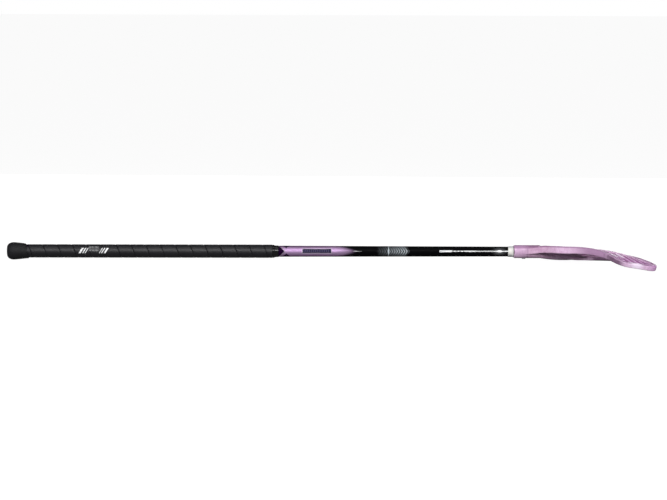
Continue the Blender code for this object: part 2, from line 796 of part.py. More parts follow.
def lay_down(pieces):
    """Parents the pieces to one empty, which rests them on Z = 0 about the origin."""
    graph = bpy.context.evaluated_depsgraph_get()
    named = {piece.name: piece for piece in pieces}
    tilt = resting_tilt(named["butt_knob"], named["blade"])
    corners = []
    for piece in pieces:
        corners += [tilt @ v.co for v in piece.evaluated_get(graph).data.vertices]
    middle = [
        (min(p[axis] for p in corners) + max(p[axis] for p in corners)) / 2 for axis in (0, 1)
    ]
    stick = bpy.data.objects.new("stick", None)
    bpy.context.scene.collection.objects.link(stick)
    stick.matrix_world = Matrix.Translation((-middle[0], -middle[1], 0)) @ tilt
    for thing in list(bpy.context.scene.collection.objects):
        if thing is not stick:
            thing.parent = stick


def main():
    for thing in list(bpy.data.objects):
        bpy.data.objects.remove(thing)
    plastic("helper", (0.5, 0.5, 0.5), 0.5)
    black_rubber = plastic("black_rubber", (0.03, 0.03, 0.032), 0.75)
    black_tape = plastic("black_tape", (0.035, 0.035, 0.04), 0.6)
    binding_vinyl = plastic("binding_vinyl", (0.015, 0.015, 0.017), 0.35)
    lacquer = plastic("lacquered_composite", (0.5, 0.33, 0.52), 0.3, 0.4)
    plug_plastic = plastic("plug_plastic", (0.05, 0.05, 0.05), 0.5)
    white_plastic = plastic("white_plastic", (0.8, 0.8, 0.76), 0.45)
    lilac_plastic = plastic("lilac_plastic", (0.62, 0.38, 0.6), 0.35)
    steel = plastic("zinc_steel", (0.6, 0.6, 0.62), 0.3, 1.0)
    pieces = [
        build_shaft(lacquer),
        build_end_plug(plug_plastic),
        build_knob(black_rubber),
        build_grip(black_tape),
        build_binding(binding_vinyl),
        build_sleeve(white_plastic),
        build_blade(lilac_plastic),
        build_screw(steel),
    ]
    bpy.context.view_layer.update()
    lay_down(pieces)


main()
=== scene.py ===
"""Looks of a floorball stick: its pieces, finishes, lights and camera over a fixed frame.

The file is laid out as an add-on and is run as a script. Every piece is made in the
stick's own frame: X along the shaft from the butt, -Y forward, where the blade points,
and +Z on the back of the blade. Finishes read that frame in millimetres.
"""

import json
import math

import bmesh
import bpy
from mathutils import Matrix, Vector


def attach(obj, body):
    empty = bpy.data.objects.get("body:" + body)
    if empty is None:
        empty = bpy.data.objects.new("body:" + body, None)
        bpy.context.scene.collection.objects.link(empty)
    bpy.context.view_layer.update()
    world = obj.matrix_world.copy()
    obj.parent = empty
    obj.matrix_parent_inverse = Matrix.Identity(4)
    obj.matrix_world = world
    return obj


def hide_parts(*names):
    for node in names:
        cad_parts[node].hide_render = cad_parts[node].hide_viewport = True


bl_info = {
    "name": "Floorball Stick Looks",
    "version": (1, 0, 0),
    "blender": (4, 5, 0),
    "location": "View3D > Sidebar > Stick",
    "description": "Pieces and finishes of a floorball stick",
    "category": "Object",
}

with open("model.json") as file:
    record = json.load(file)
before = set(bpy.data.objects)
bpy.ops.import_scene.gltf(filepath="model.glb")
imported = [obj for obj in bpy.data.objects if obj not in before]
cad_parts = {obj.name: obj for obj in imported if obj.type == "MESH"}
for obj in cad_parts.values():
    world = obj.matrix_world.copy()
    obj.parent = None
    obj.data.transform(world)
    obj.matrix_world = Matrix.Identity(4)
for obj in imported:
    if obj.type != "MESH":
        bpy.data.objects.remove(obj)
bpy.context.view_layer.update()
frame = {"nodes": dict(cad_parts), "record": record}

MM = 0.001

# Sizes of the stick that the pieces share.
SHAFT_START = 5.3 * MM
SHAFT_END = 965.3 * MM
SHAFT_TOP_DIAMETER = 20.2 * MM
SHAFT_TIP_DIAMETER = 17.6 * MM
SHAFT_WALL = 1.5 * MM
TAPER_START = 498 * MM
SEAT_GAP = 0.25 * MM
MOUTH = 920.3 * MM
BUTT_MOUNT_RISE = 4.5 * MM

KNOB_DIAMETER = 31.7 * MM
KNOB_FACE_DIAMETER = 15 * MM
KNOB_FACE_AT = 1.1 * MM
KNOB_BELLY_AT = 13 * MM
KNOB_LENGTH = 37 * MM
KNOB_LIP_DIAMETER = 26.8 * MM
KNOB_SKIN = 3.2 * MM
KNOB_SIDE_BEND = 0.2
KNOB_LIP_AHEAD = 0.9 * MM
KNOB_LIP_LEAN = 2.7 * MM
KNOB_VENT_DIAMETER = 3 * MM
KNOB_VENT_CHAMFER = 0.3 * MM
KNOB_OVER_TAPE_GAP = 0.1 * MM

GRIP_DIAMETER = 24.2 * MM
GRIP_START = KNOB_LENGTH + SEAT_GAP
GRIP_END = 483 * MM
TAPE_NARROWEST = 3.5 * MM
BINDING_START = GRIP_END + SEAT_GAP
BINDING_END = BINDING_START + 10.4 * MM
BINDING_THICKNESS = 0.35 * MM

SLEEVE_WALL = 0.5 * MM
SLEEVE_SHOWING = 9.8 * MM
SLEEVE_DEPTH = 38 * MM
SLEEVE_LIP_WIDTH = 2.0 * MM
SLEEVE_LIP_HEIGHT = 0.6 * MM

SOCKET_DIAMETER = 23.8 * MM
SOCKET_RADIUS = SOCKET_DIAMETER / 2
SOCKET_CUT_RADIUS = 20 * MM
SOCKET_FACE_RADIUS = 11 * MM
SOCKET_LENGTH = 45.25 * MM
SOCKET_FLOOR = 3 * MM
SOCKET_END_CHAMFER = 0.8 * MM
SOCKET_MOUTH_SETBACK = 1.8 * MM

LIE_ANGLE = math.radians(63.7)
SOLE_AT = 141.2 * MM
BLADE_LENGTH = 240.5 * MM
HEIGHT_AT_NECK = 86 * MM
HEIGHT_AT_TOE = 86 * MM
NECK_RADIUS = 58 * MM
TOE_TOP_RADIUS = 21 * MM
TOE_LOW_RADIUS = 23.5 * MM
HEEL_RADIUS = 26.5 * MM
FACE_LIFT = 2.8 * MM
OPEN_AT_HEEL = math.radians(9.4)
OPEN_AT_TOE = math.radians(11.6)
BOW_DEPTH = 5.2 * MM
HOOK_DEPTH = 18.0 * MM
HOOK_POWER = 4.0
HOOK_SKEW = 0.36
RIM_WIDTH = 8 * MM
RIM_DEPTH_AT_NECK = 13.4 * MM
RIM_DEPTH_AT_TOE = 9.2 * MM
RIM_DEPTH_AT_TIP = 8.2 * MM
RIM_ROUND = 1.5 * MM
RIM_SINK = 1.6 * MM
RIM_INSET = SOCKET_RADIUS - RIM_WIDTH / 2 - RIM_SINK
RIB_COUNT = 5
RIB_WIDTH = 3.6 * MM
RIB_DEPTH = 7.4 * MM
RIB_ROUND = 1.2 * MM
RIB_ROOT = 10 * MM
RIB_RISE = 16 * MM
TIE_PLACES = (84 * MM, 150 * MM)
TIE_LEAN = math.radians(14)
TIE_WIDTH = 4.4 * MM
WEB_DEPTH = 4.4 * MM
WEB_AT_SOLE = 14 * MM
WEB_AT_TOP = 56 * MM
WEB_HOLLOW = 9 * MM
SPINE_SHOULDER = 0.3 * MM
SPINE_SQUARENESS = 0.4
SPINE_SAG = 2.5 * MM
NECK_LIFT = 1.3 * MM
NECK_LIFT_ENDS = 62 * MM
SOLE_BOW = 1.1 * MM
HEEL_RISE = 1.8 * MM
HEEL_DIP = 0.4 * MM
HEEL_HOLLOW_AT = 27 * MM
SOLE_FLAT = 0.5 * MM
PATH_STEP = 4 * MM
ARC_STEP = 2 * MM

# Faces round a turned piece and round a small hole.
RING_SEGMENTS = 96
SHAFT_SEGMENTS = 128
HOLE_SEGMENTS = 48
RING_TURNS = [math.tau * i / RING_SEGMENTS for i in range(RING_SEGMENTS)]

SCREW_AT = 18.5 * MM
SCREW_DIAMETER = 3.5 * MM
SCREW_HEAD_DIAMETER = 7 * MM
SCREW_SEAT_DEPTH = 1.0 * MM

# Camera: level with the stick's axis, square to it, and far off.
CAMERA_ALONG = 593.6 * MM
CAMERA_RISE = 2.36 * MM
CAMERA_AWAY = 6.0
CAMERA_ROLL = math.radians(0.087)
SPAN_PER_PIXEL = 1.816 * MM
PICTURE_WIDTH = 667
SENSOR_WIDTH = 36

# Each lamp's offset from the camera's goal, its size, and whether it leaves glare.
LAMPS = {
    "key": ((0.15, -2.6, 0.95), (3.2, 0.7), True),
    "top": ((0.1, -0.9, 2.2), (2.8, 0.5), True),
    "side": ((-2.6, -1.2, 0.4), (0.8, 0.8), False),
    "back": ((0.15, 2.6, 0.6), (3.2, 0.9), True),
}
TOE_LAMP_OFFSET = (2.0, -1.65, 0.25)
TOE_LAMP_GOAL = (0.93 * BLADE_LENGTH, 0.3 * HEIGHT_AT_TOE)
TOE_LAMP_ANGLE = math.radians(7)
TOE_LAMP_SIZE = 0.15
FLOOR_HALF = 60
FLOOR_DROP = 0.5 * MM

# Places of the prints and painted highlights, and of the tones and the painted shade of the crease by the
# socket, in millimetres along the shaft and round it from its front line.
BAND_CLOSES = (586.0, 641.0)
BAND_FADES = (596.0, 640.0)
BAND_REACH = 19.0
ARROW_TIP = 504.1
ARROW_SLOPE = 1.06
WEDGE_AT = 508.0
WEDGE_MIDDLE = 0.9
WEDGE_REACH = 4.9
WEDGE_SLOPE = 1.05
BAR_START = 537.3
BAR_END = 589.6
BAR_MIDDLE = 0.5
BAR_HALF_HEIGHT = 3.7
BAR_BORDER = 1.3
HATCH_INSET = 2.2
HATCH_STEP = 1.7
STREAK_START = 630.0
STREAK_END = 644.6
HEADS_START = 672.0
HEADS_END = 731.0
HEAD_AT = 677.2
HEAD_STEP = 2.18
HEAD_SLOPE = 0.62
CROSS_LINE = (692.9, 694.2)
BADGE_AT = 797.2
BADGE_HALF_LENGTH = 10.5
BADGE_HALF_HEIGHT = 0.6
LINE_AT = 0.45
LINE_DARKENS = (840.0, 866.0)
LINE_RETURNS = (870.0, 889.0)
BEAD_AT = 894.6
LAP_EDGE = (489.8, 490.2)
MOTIF_HEIGHT = (-4.2, 5.6)
DOT_STEP = 2.6
DOTS_LENGTH = (150.5, 167.5)
DOTS_HEIGHT = (-1.4, 9.0)
SOCKET_CREASE = (945.0, 947.0)
NECK_DARKENS = (934.0, 952.0)
NECK_CLEARS = (975.0, 1005.0)

# Places of the blade's tones, in millimetres along the sole.
PATCH_RISES = (60.0, 150.0)
PATCH_FALLS = (186.0, 222.0)
SLOTS_END = (232.0, 234.0)
EDGE_DEEPENS = (90.0, 130.0)
FACE_REDDENS = (190.0, 215.0)
PALE_LENGTH = (182.0, 206.0)
GLEAM_STARTS = (230.0, 237.0)
CORNER_DARKENS = (178.0, 212.0)
UNDER_LENGTH = (22.0, 96.0)
TIP_REDDENS = (222.0, 236.0)
SOCKET_SIDE = (-20.0, -30.0)

# Heights of the blade's tones above the sole, in millimetres.
SLOT_HEIGHTS = (9.0, 77.0)
PATCH_HEIGHTS = (55.0, 75.0)
EDGE_HEIGHTS = (40.0, 70.0)
PALE_HEIGHTS = (52.0, 78.0)
GLEAM_HEIGHTS = (40.0, 62.0)
CORNER_HEIGHTS = (67.0, 84.0)
UNDER_HEIGHTS = (10.0, 17.0)
TIP_HEIGHTS = (14.0, 34.0)

# How far the blade's tones lie out of its middle surface, in millimetres.
WALL_OUT = (1.4, 2.8)
EDGE_OUT = (3.3, 4.6)
PALE_OUT = (0.0, 2.0)
CORNER_OUT = (4.7, 3.0)
UNDER_OUT = (-0.5, -3.0)

# The silver line and the dashes before it, each as (start, end, strength).
DASHES = (
    (808.0, 834.0, 0.45),
    (812.6, 815.0, 1.0),
    (818.2, 821.3, 0.9),
    (825.2, 829.0, 1.0),
    (830.8, 912.0, 1.0),
)
# The motif's bars, each as (start, end).
MOTIF_BARS = (
    (134.0, 137.6),
    (140.2, 142.6),
    (145.0, 146.4),
    (171.0, 172.2),
    (174.6, 176.8),
    (179.4, 182.8),
)

FLOAT, VECTOR = "NodeSocketFloat", "NodeSocketVector"


def stick_to_world():
    """The stick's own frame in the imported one, from the record's two flat faces."""
    mounts = {mount["name"]: mount for mount in frame["record"]["mounts"]}
    along = -Vector(mounts["butt_face"]["axis"]).normalized()
    up = along.cross(Vector(mounts["sole"]["axis"])).normalized()
    side = up.cross(along)
    start = Vector(mounts["butt_face"]["pos_m"]) - up * BUTT_MOUNT_RISE
    turn = Matrix((along, side, up)).transposed()
    return Matrix.Translation(start) @ turn.to_4x4()


TO_WORLD = stick_to_world()


def held(value):
    """The value kept between 0 and 1."""
    return min(1, max(0, value))


def shaft_radius(x):
    """Outer radius of the shaft at x."""
    share = held((x - TAPER_START) / (SHAFT_END - TAPER_START))
    return (SHAFT_TOP_DIAMETER + share * (SHAFT_TIP_DIAMETER - SHAFT_TOP_DIAMETER)) / 2


def smooth(share):
    """Eases from 0 to 1 as share does."""
    share = held(share)
    return share * share * (3 - 2 * share)


def around(x, radius, turn):
    """The point at x and radius, at a turn measured from +Z towards -Y."""
    return Vector((x, -radius * math.sin(turn), radius * math.cos(turn)))


# Meshes


def shown(name, data):
    """A new object of data, linked to the scene."""
    thing = bpy.data.objects.new(name, data)
    bpy.context.scene.collection.objects.link(thing)
    return thing


def keep_places(mesh, name, places):
    """Keeps a place for each vertex as an attribute in millimetres."""
    marks = mesh.attributes.new(name, "FLOAT_VECTOR", "POINT")
    marks.data.foreach_set("vector", [c / MM for place in places for c in place])


def placed(name, mesh, finish, angle=35):
    """An object of mesh, which keeps its place on the stick as an attribute in millimetres."""
    keep_places(mesh, "stick_mm", [vert.co for vert in mesh.vertices])
    mesh.transform(TO_WORLD)
    mesh.shade_smooth()
    mesh.set_sharp_from_angle(angle=math.radians(angle))
    mesh.materials.clear()
    mesh.materials.append(finish)
    return shown(name, mesh)


def stand_for(piece, node):
    """The piece rides on the stick's one body and is shown in place of the node."""
    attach(piece, "root")
    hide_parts(node)


def mesh_of(name, fill):
    """A mesh from the bmesh that fill makes, with its faces turned outwards."""
    mesh = bpy.data.meshes.new(name)
    made = bmesh.new()
    fill(made)
    bmesh.ops.recalc_face_normals(made, faces=made.faces)
    made.to_mesh(mesh)
    made.free()
    return mesh


def helper(name, fill):
    """A passing object for a Boolean or a remesh, in the stick's frame."""
    return shown(name, mesh_of(name, fill))


def shaped(thing):
    """The plain mesh of thing with its modifiers done."""
    bpy.context.view_layer.update()
    graph = bpy.context.evaluated_depsgraph_get()
    return bpy.data.meshes.new_from_object(thing.evaluated_get(graph))


def cut(name, thing, *cutters):
    """The mesh of thing less the cutters, under a name. They and thing are removed."""
    for cutter in cutters:
        boolean = thing.modifiers.new(cutter.name, "BOOLEAN")
        boolean.operation = "DIFFERENCE"
        boolean.solver = "EXACT"
        boolean.object = cutter
    mesh = shaped(thing)
    mesh.name = name
    for done in (thing, *cutters):
        bpy.data.objects.remove(done)
    return mesh


def bridge(made, first, second):
    """Faces between two rings of as many vertices."""
    for i in range(len(first)):
        j = (i + 1) % len(first)
        made.faces.new((first[i], first[j], second[j], second[i]))


def turned(made, rows, segments=RING_SEGMENTS):
    """Rings round the X axis, closed into a loop. A row is (x, radius), or a function of
    the turn, measured from +Z towards -Y, that gives it."""
    rings = []
    for row in rows:
        ring = []
        for i in range(segments):
            turn = math.tau * i / segments
            x, radius = row(turn) if callable(row) else row
            ring.append(made.verts.new(around(x, radius, turn)))
        rings.append(ring)
    for first, second in zip(rings, rings[1:] + rings[:1]):
        bridge(made, first, second)


def drum(made, place, radius, length, segments):
    """A closed cylinder on the Z axis of place, which stands at its middle."""
    bmesh.ops.create_cone(
        made,
        cap_ends=True,
        segments=segments,
        radius1=radius,
        radius2=radius,
        depth=length,
        matrix=place,
    )


def lying_drum(made, start, end, radius):
    """A closed cylinder along the X axis."""
    place = Matrix.Translation(((start + end) / 2, 0, 0)) @ Matrix.Rotation(math.pi / 2, 4, "Y")
    drum(made, place, radius, end - start, RING_SEGMENTS)


def screw_drum(name, diameter, low, high):
    """A helper round the screw's line, from low to high, for a bore that clears diameter."""
    place = Matrix.Translation((MOUTH + SCREW_AT, 0, (low + high) / 2))
    place = place @ Matrix.Rotation(math.pi / HOLE_SEGMENTS, 4, "Z")
    radius = diameter / 2 + SEAT_GAP
    return helper(name, lambda made: drum(made, place, radius, high - low, HOLE_SEGMENTS))


def swept(made, sections):
    """Joins sections, each a ring of as many points, into a bar with closed ends."""
    rings = [[made.verts.new(point) for point in section] for section in sections]
    for first, second in zip(rings, rings[1:]):
        bridge(made, first, second)
    made.faces.new(rings[0])
    made.faces.new(list(reversed(rings[-1])))


# Node trees


class Graph:
    """Adds nodes to one tree and links them in short calls."""

    def __init__(self, tree):
        self.tree = tree

    def feed(self, socket, value):
        """Links value to the socket where it is one, and otherwise sets it."""
        if isinstance(value, bpy.types.NodeSocket):
            self.tree.links.new(value, socket)
        elif socket.type == "RGBA" and len(value) == 3:
            socket.default_value = (*value, 1)
        else:
            socket.default_value = value

    def node(self, kind, inputs=None, **settings):
        """A node with its settings and inputs, which are named or numbered."""
        made = self.tree.nodes.new(kind)
        for key, value in settings.items():
            setattr(made, key, value)
        for key, value in (inputs or {}).items():
            self.feed(made.inputs[key], value)
        return made

    def math(self, operation, *values):
        """The result of a Math node."""
        made = self.node("ShaderNodeMath", operation=operation)
        for socket, value in zip(made.inputs, values):
            self.feed(socket, value)
        return made.outputs[0]

    def times(self, first, *others):
        """The product of all values."""
        for other in others:
            first = self.math("MULTIPLY", first, other)
        return first

    def most(self, first, *others):
        """The greatest of all values."""
        for other in others:
            first = self.math("MAXIMUM", first, other)
        return first

    def plus(self, first, second):
        """The sum of two values."""
        return self.math("ADD", first, second)

    def minus(self, first, second):
        """What is left of first without second."""
        return self.math("SUBTRACT", first, second)

    def over(self, first, second):
        """The first value divided by the second."""
        return self.math("DIVIDE", first, second)

    def off(self, value, middle=0.0):
        """How far value is from middle, to either side."""
        return self.math("ABSOLUTE", self.minus(value, middle))

    def length(self, x, y):
        """The length of the line to (x, y)."""
        return self.math("SQRT", self.plus(self.times(x, x), self.times(y, y)))

    def ramp(self, value, low, high, start=0.0, end=1.0, kind="SMOOTHSTEP"):
        """Eases value from low to high into start to end."""
        made = self.node("ShaderNodeMapRange", interpolation_type=kind)
        for socket, number in zip(made.inputs, (value, low, high, start, end)):
            self.feed(socket, number)
        return made.outputs[0]

    def fall(self, value, low, high, kind="SMOOTHSTEP"):
        """Eases value from low to high into 1 to 0."""
        return self.ramp(value, low, high, 1.0, 0.0, kind)

    def parts(self, vector):
        """The three parts of a vector."""
        return self.node("ShaderNodeSeparateXYZ", {0: vector}).outputs

    def joined(self, x, y, z):
        """A vector of its three parts."""
        return self.node("ShaderNodeCombineXYZ", {0: x, 1: y, 2: z}).outputs[0]

    def kept_places(self, name):
        """The places in millimetres that the mesh keeps under a name."""
        return self.node("ShaderNodeAttribute", attribute_name=name).outputs["Vector"]

    def mix(self, share, first, second, blend="MIX"):
        """A colour between two others."""
        made = self.node("ShaderNodeMix", data_type="RGBA", blend_type=blend)
        self.feed(made.inputs[0], share)
        self.feed(made.inputs[6], first)
        self.feed(made.inputs[7], second)
        return made.outputs[2]

    def paint(self, colour, tone, share, strength=1.0, blend="MIX"):
        """The colour with tone laid over it where share is, as much as strength."""
        if strength != 1:
            share = self.times(share, strength)
        return self.mix(share, colour, tone, blend)

    def group(self, name, **inputs):
        """A placed node group, made when it is first used. Input names have their spaces
        as underscores."""
        made = self.tree.nodes.new("ShaderNodeGroup")
        made.node_tree = bpy.data.node_groups.get(name) or GROUPS[name](name)
        for key, value in inputs.items():
            self.feed(made.inputs[key.replace("_", " ")], value)
        return made.outputs

    def band(self, value, low, high, soft):
        """A mask of 1 where value is between low and high, with edges as wide as soft."""
        return self.group("print_band", Value=value, Low=low, High=high, Soft=soft)["Mask"]

    def grain(self, fine, slow, stretch=1.0):
        """The outputs of a skin's grain, from its finest and slowest sizes."""
        return self.group("skin_grain", Grain_Size=fine, Mottle_Size=slow, Stretch=stretch)

    def noise(self, vector, scale, detail=2.0, roughness=0.5, distortion=0.0):
        """The factor of a Noise texture."""
        inputs = {
            "Vector": vector,
            "Scale": scale,
            "Detail": detail,
            "Roughness": roughness,
            "Distortion": distortion,
        }
        return self.node("ShaderNodeTexNoise", inputs).outputs["Fac"]

    def bump(self, height, strength, distance):
        """A Bump node's normal."""
        inputs = {"Height": height, "Strength": strength, "Distance": distance}
        return self.node("ShaderNodeBump", inputs).outputs[0]


def shader_group(name, inputs, outputs):
    """A new group with its named number sockets, as (graph, inputs, output node)."""
    tree = bpy.data.node_groups.new(name, "ShaderNodeTree")
    for label, default in inputs:
        socket = tree.interface.new_socket(label, in_out="INPUT", socket_type=FLOAT)
        socket.default_value = default
    for label, kind in outputs:
        tree.interface.new_socket(label, in_out="OUTPUT", socket_type=kind)
    graph = Graph(tree)
    source = tree.nodes.new("NodeGroupInput")
    return graph, source.outputs, tree.nodes.new("NodeGroupOutput").inputs


def place_group(name):
    """Where a point lies on the stick in millimetres: along it, round it from the front
    line (up counts as plus, and the back repeats the front), and its share of a turn."""
    outputs = [("Along", FLOAT), ("Round", FLOAT), ("Turn", FLOAT), ("Place", VECTOR)]
    graph, _, out = shader_group(name, [], outputs)
    marks = graph.kept_places("stick_mm")
    along, side, up = graph.parts(marks)
    turn = graph.math("ARCTAN2", up, graph.off(side))
    whole_turn = graph.math("ARCTAN2", graph.times(side, -1.0), up)
    graph.feed(out["Along"], along)
    graph.feed(out["Round"], graph.times(turn, graph.length(side, up)))
    graph.feed(out["Turn"], graph.over(whole_turn, math.tau))
    graph.feed(out["Place"], marks)
    return graph.tree


def band_group(name):
    """A mask of 1 between Low and High, with edges as wide as Soft."""
    inputs = [("Value", 0.0), ("Low", 0.0), ("High", 1.0), ("Soft", 0.1)]
    graph, source, out = shader_group(name, inputs, [("Mask", FLOAT)])
    half = graph.times(source["Soft"], 0.5)
    rise, fall = [
        graph.ramp(source["Value"], graph.minus(source[end], half), graph.plus(source[end], half))
        for end in ("Low", "High")
    ]
    graph.feed(out["Mask"], graph.times(rise, graph.minus(1.0, fall)))
    return graph.tree


def grain_group(name):
    """Fine grain of a moulded, wound or lacquered skin: a height and two slow mottles."""
    inputs = [("Grain Size", 0.6), ("Mottle Size", 12.0), ("Stretch", 1.0)]
    outputs = [("Height", FLOAT), ("Mottle", FLOAT), ("Rub", FLOAT)]
    graph, source, out = shader_group(name, inputs, outputs)
    spot = graph.node("ShaderNodeTexCoord").outputs["Object"]
    in_mm = {0: spot, 1: (1 / MM, 1 / MM, 1 / MM)}
    scaled = graph.node("ShaderNodeVectorMath", in_mm, operation="MULTIPLY").outputs[0]
    x, y, z = graph.parts(scaled)
    drawn = graph.over(x, source["Stretch"])
    moved = graph.joined(drawn, y, z)
    fine = graph.over(1.0, source["Grain Size"])
    slow = graph.over(1.0, source["Mottle Size"])
    graph.feed(out["Height"], graph.noise(scaled, fine, 3.0, 0.6))
    graph.feed(out["Mottle"], graph.noise(moved, slow, 4.0, 0.55, 0.4))
    graph.feed(out["Rub"], graph.noise(moved, graph.times(slow, 3.7), 3.0, 0.7, 1.2))
    return graph.tree


GROUPS = {"place_on_stick": place_group, "print_band": band_group, "skin_grain": grain_group}


def looks():
    """The settings of the finishes and sizes."""
    return bpy.context.scene.stick_looks


def new_finish(name):
    """A material, as (material, graph, shader, its colours)."""
    if name in bpy.data.materials:
        bpy.data.materials.remove(bpy.data.materials[name])
    finish = bpy.data.materials.new(name)
    finish.use_nodes = True
    return finish, Graph(finish.node_tree), finish.node_tree.nodes["Principled BSDF"], looks()


def worn(g, mottle, low, high, end=0.7):
    """A roughness that wanders from low to high with a mottle."""
    return g.ramp(mottle, 0.3, end, low, high, kind="LINEAR")


def coat(g, shader, colour, roughness, bump, specular=0.5):
    """Feeds a shader its colour, roughness and gloss, and a bump of (height, strength, depth)."""
    g.feed(shader.inputs["Base Color"], colour)
    g.feed(shader.inputs["Roughness"], roughness)
    g.feed(shader.inputs["Normal"], g.bump(*bump))
    shader.inputs["Specular IOR Level"].default_value = specular


# Prints on the shaft, and the painted highlights laid with some of them. Each takes a graph, the colours
# of the looks, the colour painted so far and the places it reads, in millimetres, and returns the colour
# with the print on it.


def lacquer_band(g, colours, grain, along, aside):
    """The metallic band, which closes to a point where the black begins, with painted shade darkening it
    towards its top and bottom edges. It is returned with its share of the surface."""
    reach = g.ramp(along, *BAND_CLOSES, BAND_REACH, 0.0, kind="LINEAR")
    band = g.times(
        g.fall(g.minus(aside, reach), -7.0, 1.5),
        g.fall(along, *BAND_FADES, kind="LINEAR"),
    )
    body = g.mix(grain["Mottle"], colours.lacquer, colours.lacquer_deep)
    # Painted shade: the band darkens towards its top and bottom edges.
    body = g.mix(g.ramp(aside, 4.5, 12.5, 0.0, 0.85), body, colours.lacquer_painted_shade)
    return g.mix(band, colours.black, body), band


def arrow_print(g, colours, colour, along, arc):
    """An arrow at the grip's end, its pale outline, and a wedge on the top and below. They
    are returned with the share of their dark parts."""
    tip = g.minus(g.times(g.minus(ARROW_TIP, along), ARROW_SLOPE), g.off(arc))
    colour = g.paint(colour, colours.outline, g.band(tip, -3.0, -0.7, 0.5), 0.75)
    wedge = g.times(g.minus(g.off(arc, WEDGE_MIDDLE), WEDGE_REACH), WEDGE_SLOPE)
    wedge = g.minus(wedge, g.off(along, WEDGE_AT))
    dark = g.most(g.ramp(tip, -0.8, -0.2), g.ramp(wedge, -0.3, 0.3))
    return g.paint(colour, colours.arrow, dark), dark


def bar_print(g, colours, colour, mottle, along, arc):
    """A plain bar in a pale border, with fine upright hatching. It is returned with its
    share of the surface."""
    middle = g.off(arc, BAR_MIDDLE)

    def box(grown, half_height):
        length = g.band(along, BAR_START - grown, BAR_END + grown, 0.5)
        return g.times(length, g.band(middle, -1.0, half_height, 0.4))

    bar = box(0.0, BAR_HALF_HEIGHT)
    border = box(BAR_BORDER, BAR_HALF_HEIGHT + BAR_BORDER)
    colour = g.paint(colour, colours.white_print_and_highlight, border, 0.35)
    colour = g.paint(colour, colours.bar, bar)
    wave = g.math("PINGPONG", g.plus(along, g.times(mottle, 4.0)), HATCH_STEP)
    ends = g.band(along, BAR_START + HATCH_INSET, BAR_END - HATCH_INSET, 0.6)
    hatch = g.times(g.ramp(wave, 0.8, 1.2), g.fall(middle, 2.2, 2.7), bar, ends)
    return g.paint(colour, colours.hatch, hatch, 0.8), bar


def painted_band_highlight(g, colours, colour, along, aside):
    """A painted highlight: a thin pale streak along the front line, where the band runs out."""
    taper = g.ramp(along, STREAK_START + 4, STREAK_END + 1.4, 0.55, 0.1, kind="LINEAR")
    thin = g.fall(g.minus(aside, taper), -0.4, 0.4)
    streak = g.times(thin, g.band(along, STREAK_START, STREAK_END, 3.0))
    # Painted highlight along the front line, in the prints' white.
    return g.paint(colour, colours.white_print_and_highlight, streak, 0.5)


def arrowhead_print(g, colours, colour, along, aside):
    """Arrowheads that brighten towards the blade, and the line that crosses them. Both carry a painted
    highlight, brightest along the front line.
    """
    swept_back = g.plus(along, g.times(aside, HEAD_SLOPE))
    wave = g.math("PINGPONG", g.minus(swept_back, HEAD_AT), HEAD_STEP)
    heads = g.times(
        g.ramp(wave, 1.45, 1.8),
        g.ramp(along, HEADS_START, HEADS_END - 4, 0.1, 1.0),
        g.fall(swept_back, HEADS_END, HEADS_END + 0.6),
        g.ramp(along, HEADS_START + 1, HEADS_START + 4),
        # Brightest near the front line: a painted highlight.
        g.ramp(aside, 0.5, 7.5, 1.0, 0.5),
    )
    colour = g.paint(colour, colours.print_cool, heads)
    # The crossing line carries the same painted highlight along the front line.
    cross = g.times(g.band(along, *CROSS_LINE, 0.7), g.ramp(aside, 0.0, 10.0, 0.85, 0.25))
    return g.paint(colour, colours.print_cool, cross)


def badge_print(g, colours, colour, rub, along, arc):
    """A bare rounded badge, worn to grey."""
    past = g.most(g.minus(g.off(along, BADGE_AT), BADGE_HALF_LENGTH), 0.0)
    over = g.most(g.minus(g.off(arc, LINE_AT), BADGE_HALF_HEIGHT), 0.0)
    badge = g.fall(g.length(past, over), 0.95, 1.35)
    tone = g.mix(g.ramp(rub, 0.4, 0.62, 0.1, 0.9), colours.white_print_and_highlight, colours.grey_print_and_painted_light)
    return g.paint(colour, tone, badge)


def line_print(g, colours, colour, along, arc):
    """Four dashes and the silver line, which swells in a bead before the socket, with a painted glow of
    grey round the bead.
    """
    centre = g.off(arc, LINE_AT)
    thin = g.fall(centre, 0.8, 1.15)
    runs = g.most(*(g.times(g.band(along, low, high, 0.5), share) for low, high, share in DASHES))
    fade = g.most(g.ramp(along, *LINE_DARKENS, 1.0, 0.62), g.ramp(along, *LINE_RETURNS, 0.0, 0.85))
    colour = g.paint(colour, colours.white_print_and_highlight, g.times(thin, runs, fade))
    near = g.off(along, BEAD_AT)
    bulge = g.ramp(near, 0.0, 6.0, 2.1, 1.0)
    bead = g.times(g.fall(g.minus(centre, bulge), -0.6, 0.5), g.fall(near, 4.9, 5.8))
    # A painted glow of grey that fades away from the bead.
    bead_painted_glow = g.times(g.ramp(near, 0.0, 15.0, 0.28, 0.0), g.fall(g.off(arc), 0.0, 9.5))
    colour = g.paint(colour, colours.grey_print_and_painted_light, bead_painted_glow)
    return g.paint(colour, colours.white_print_and_highlight, bead)


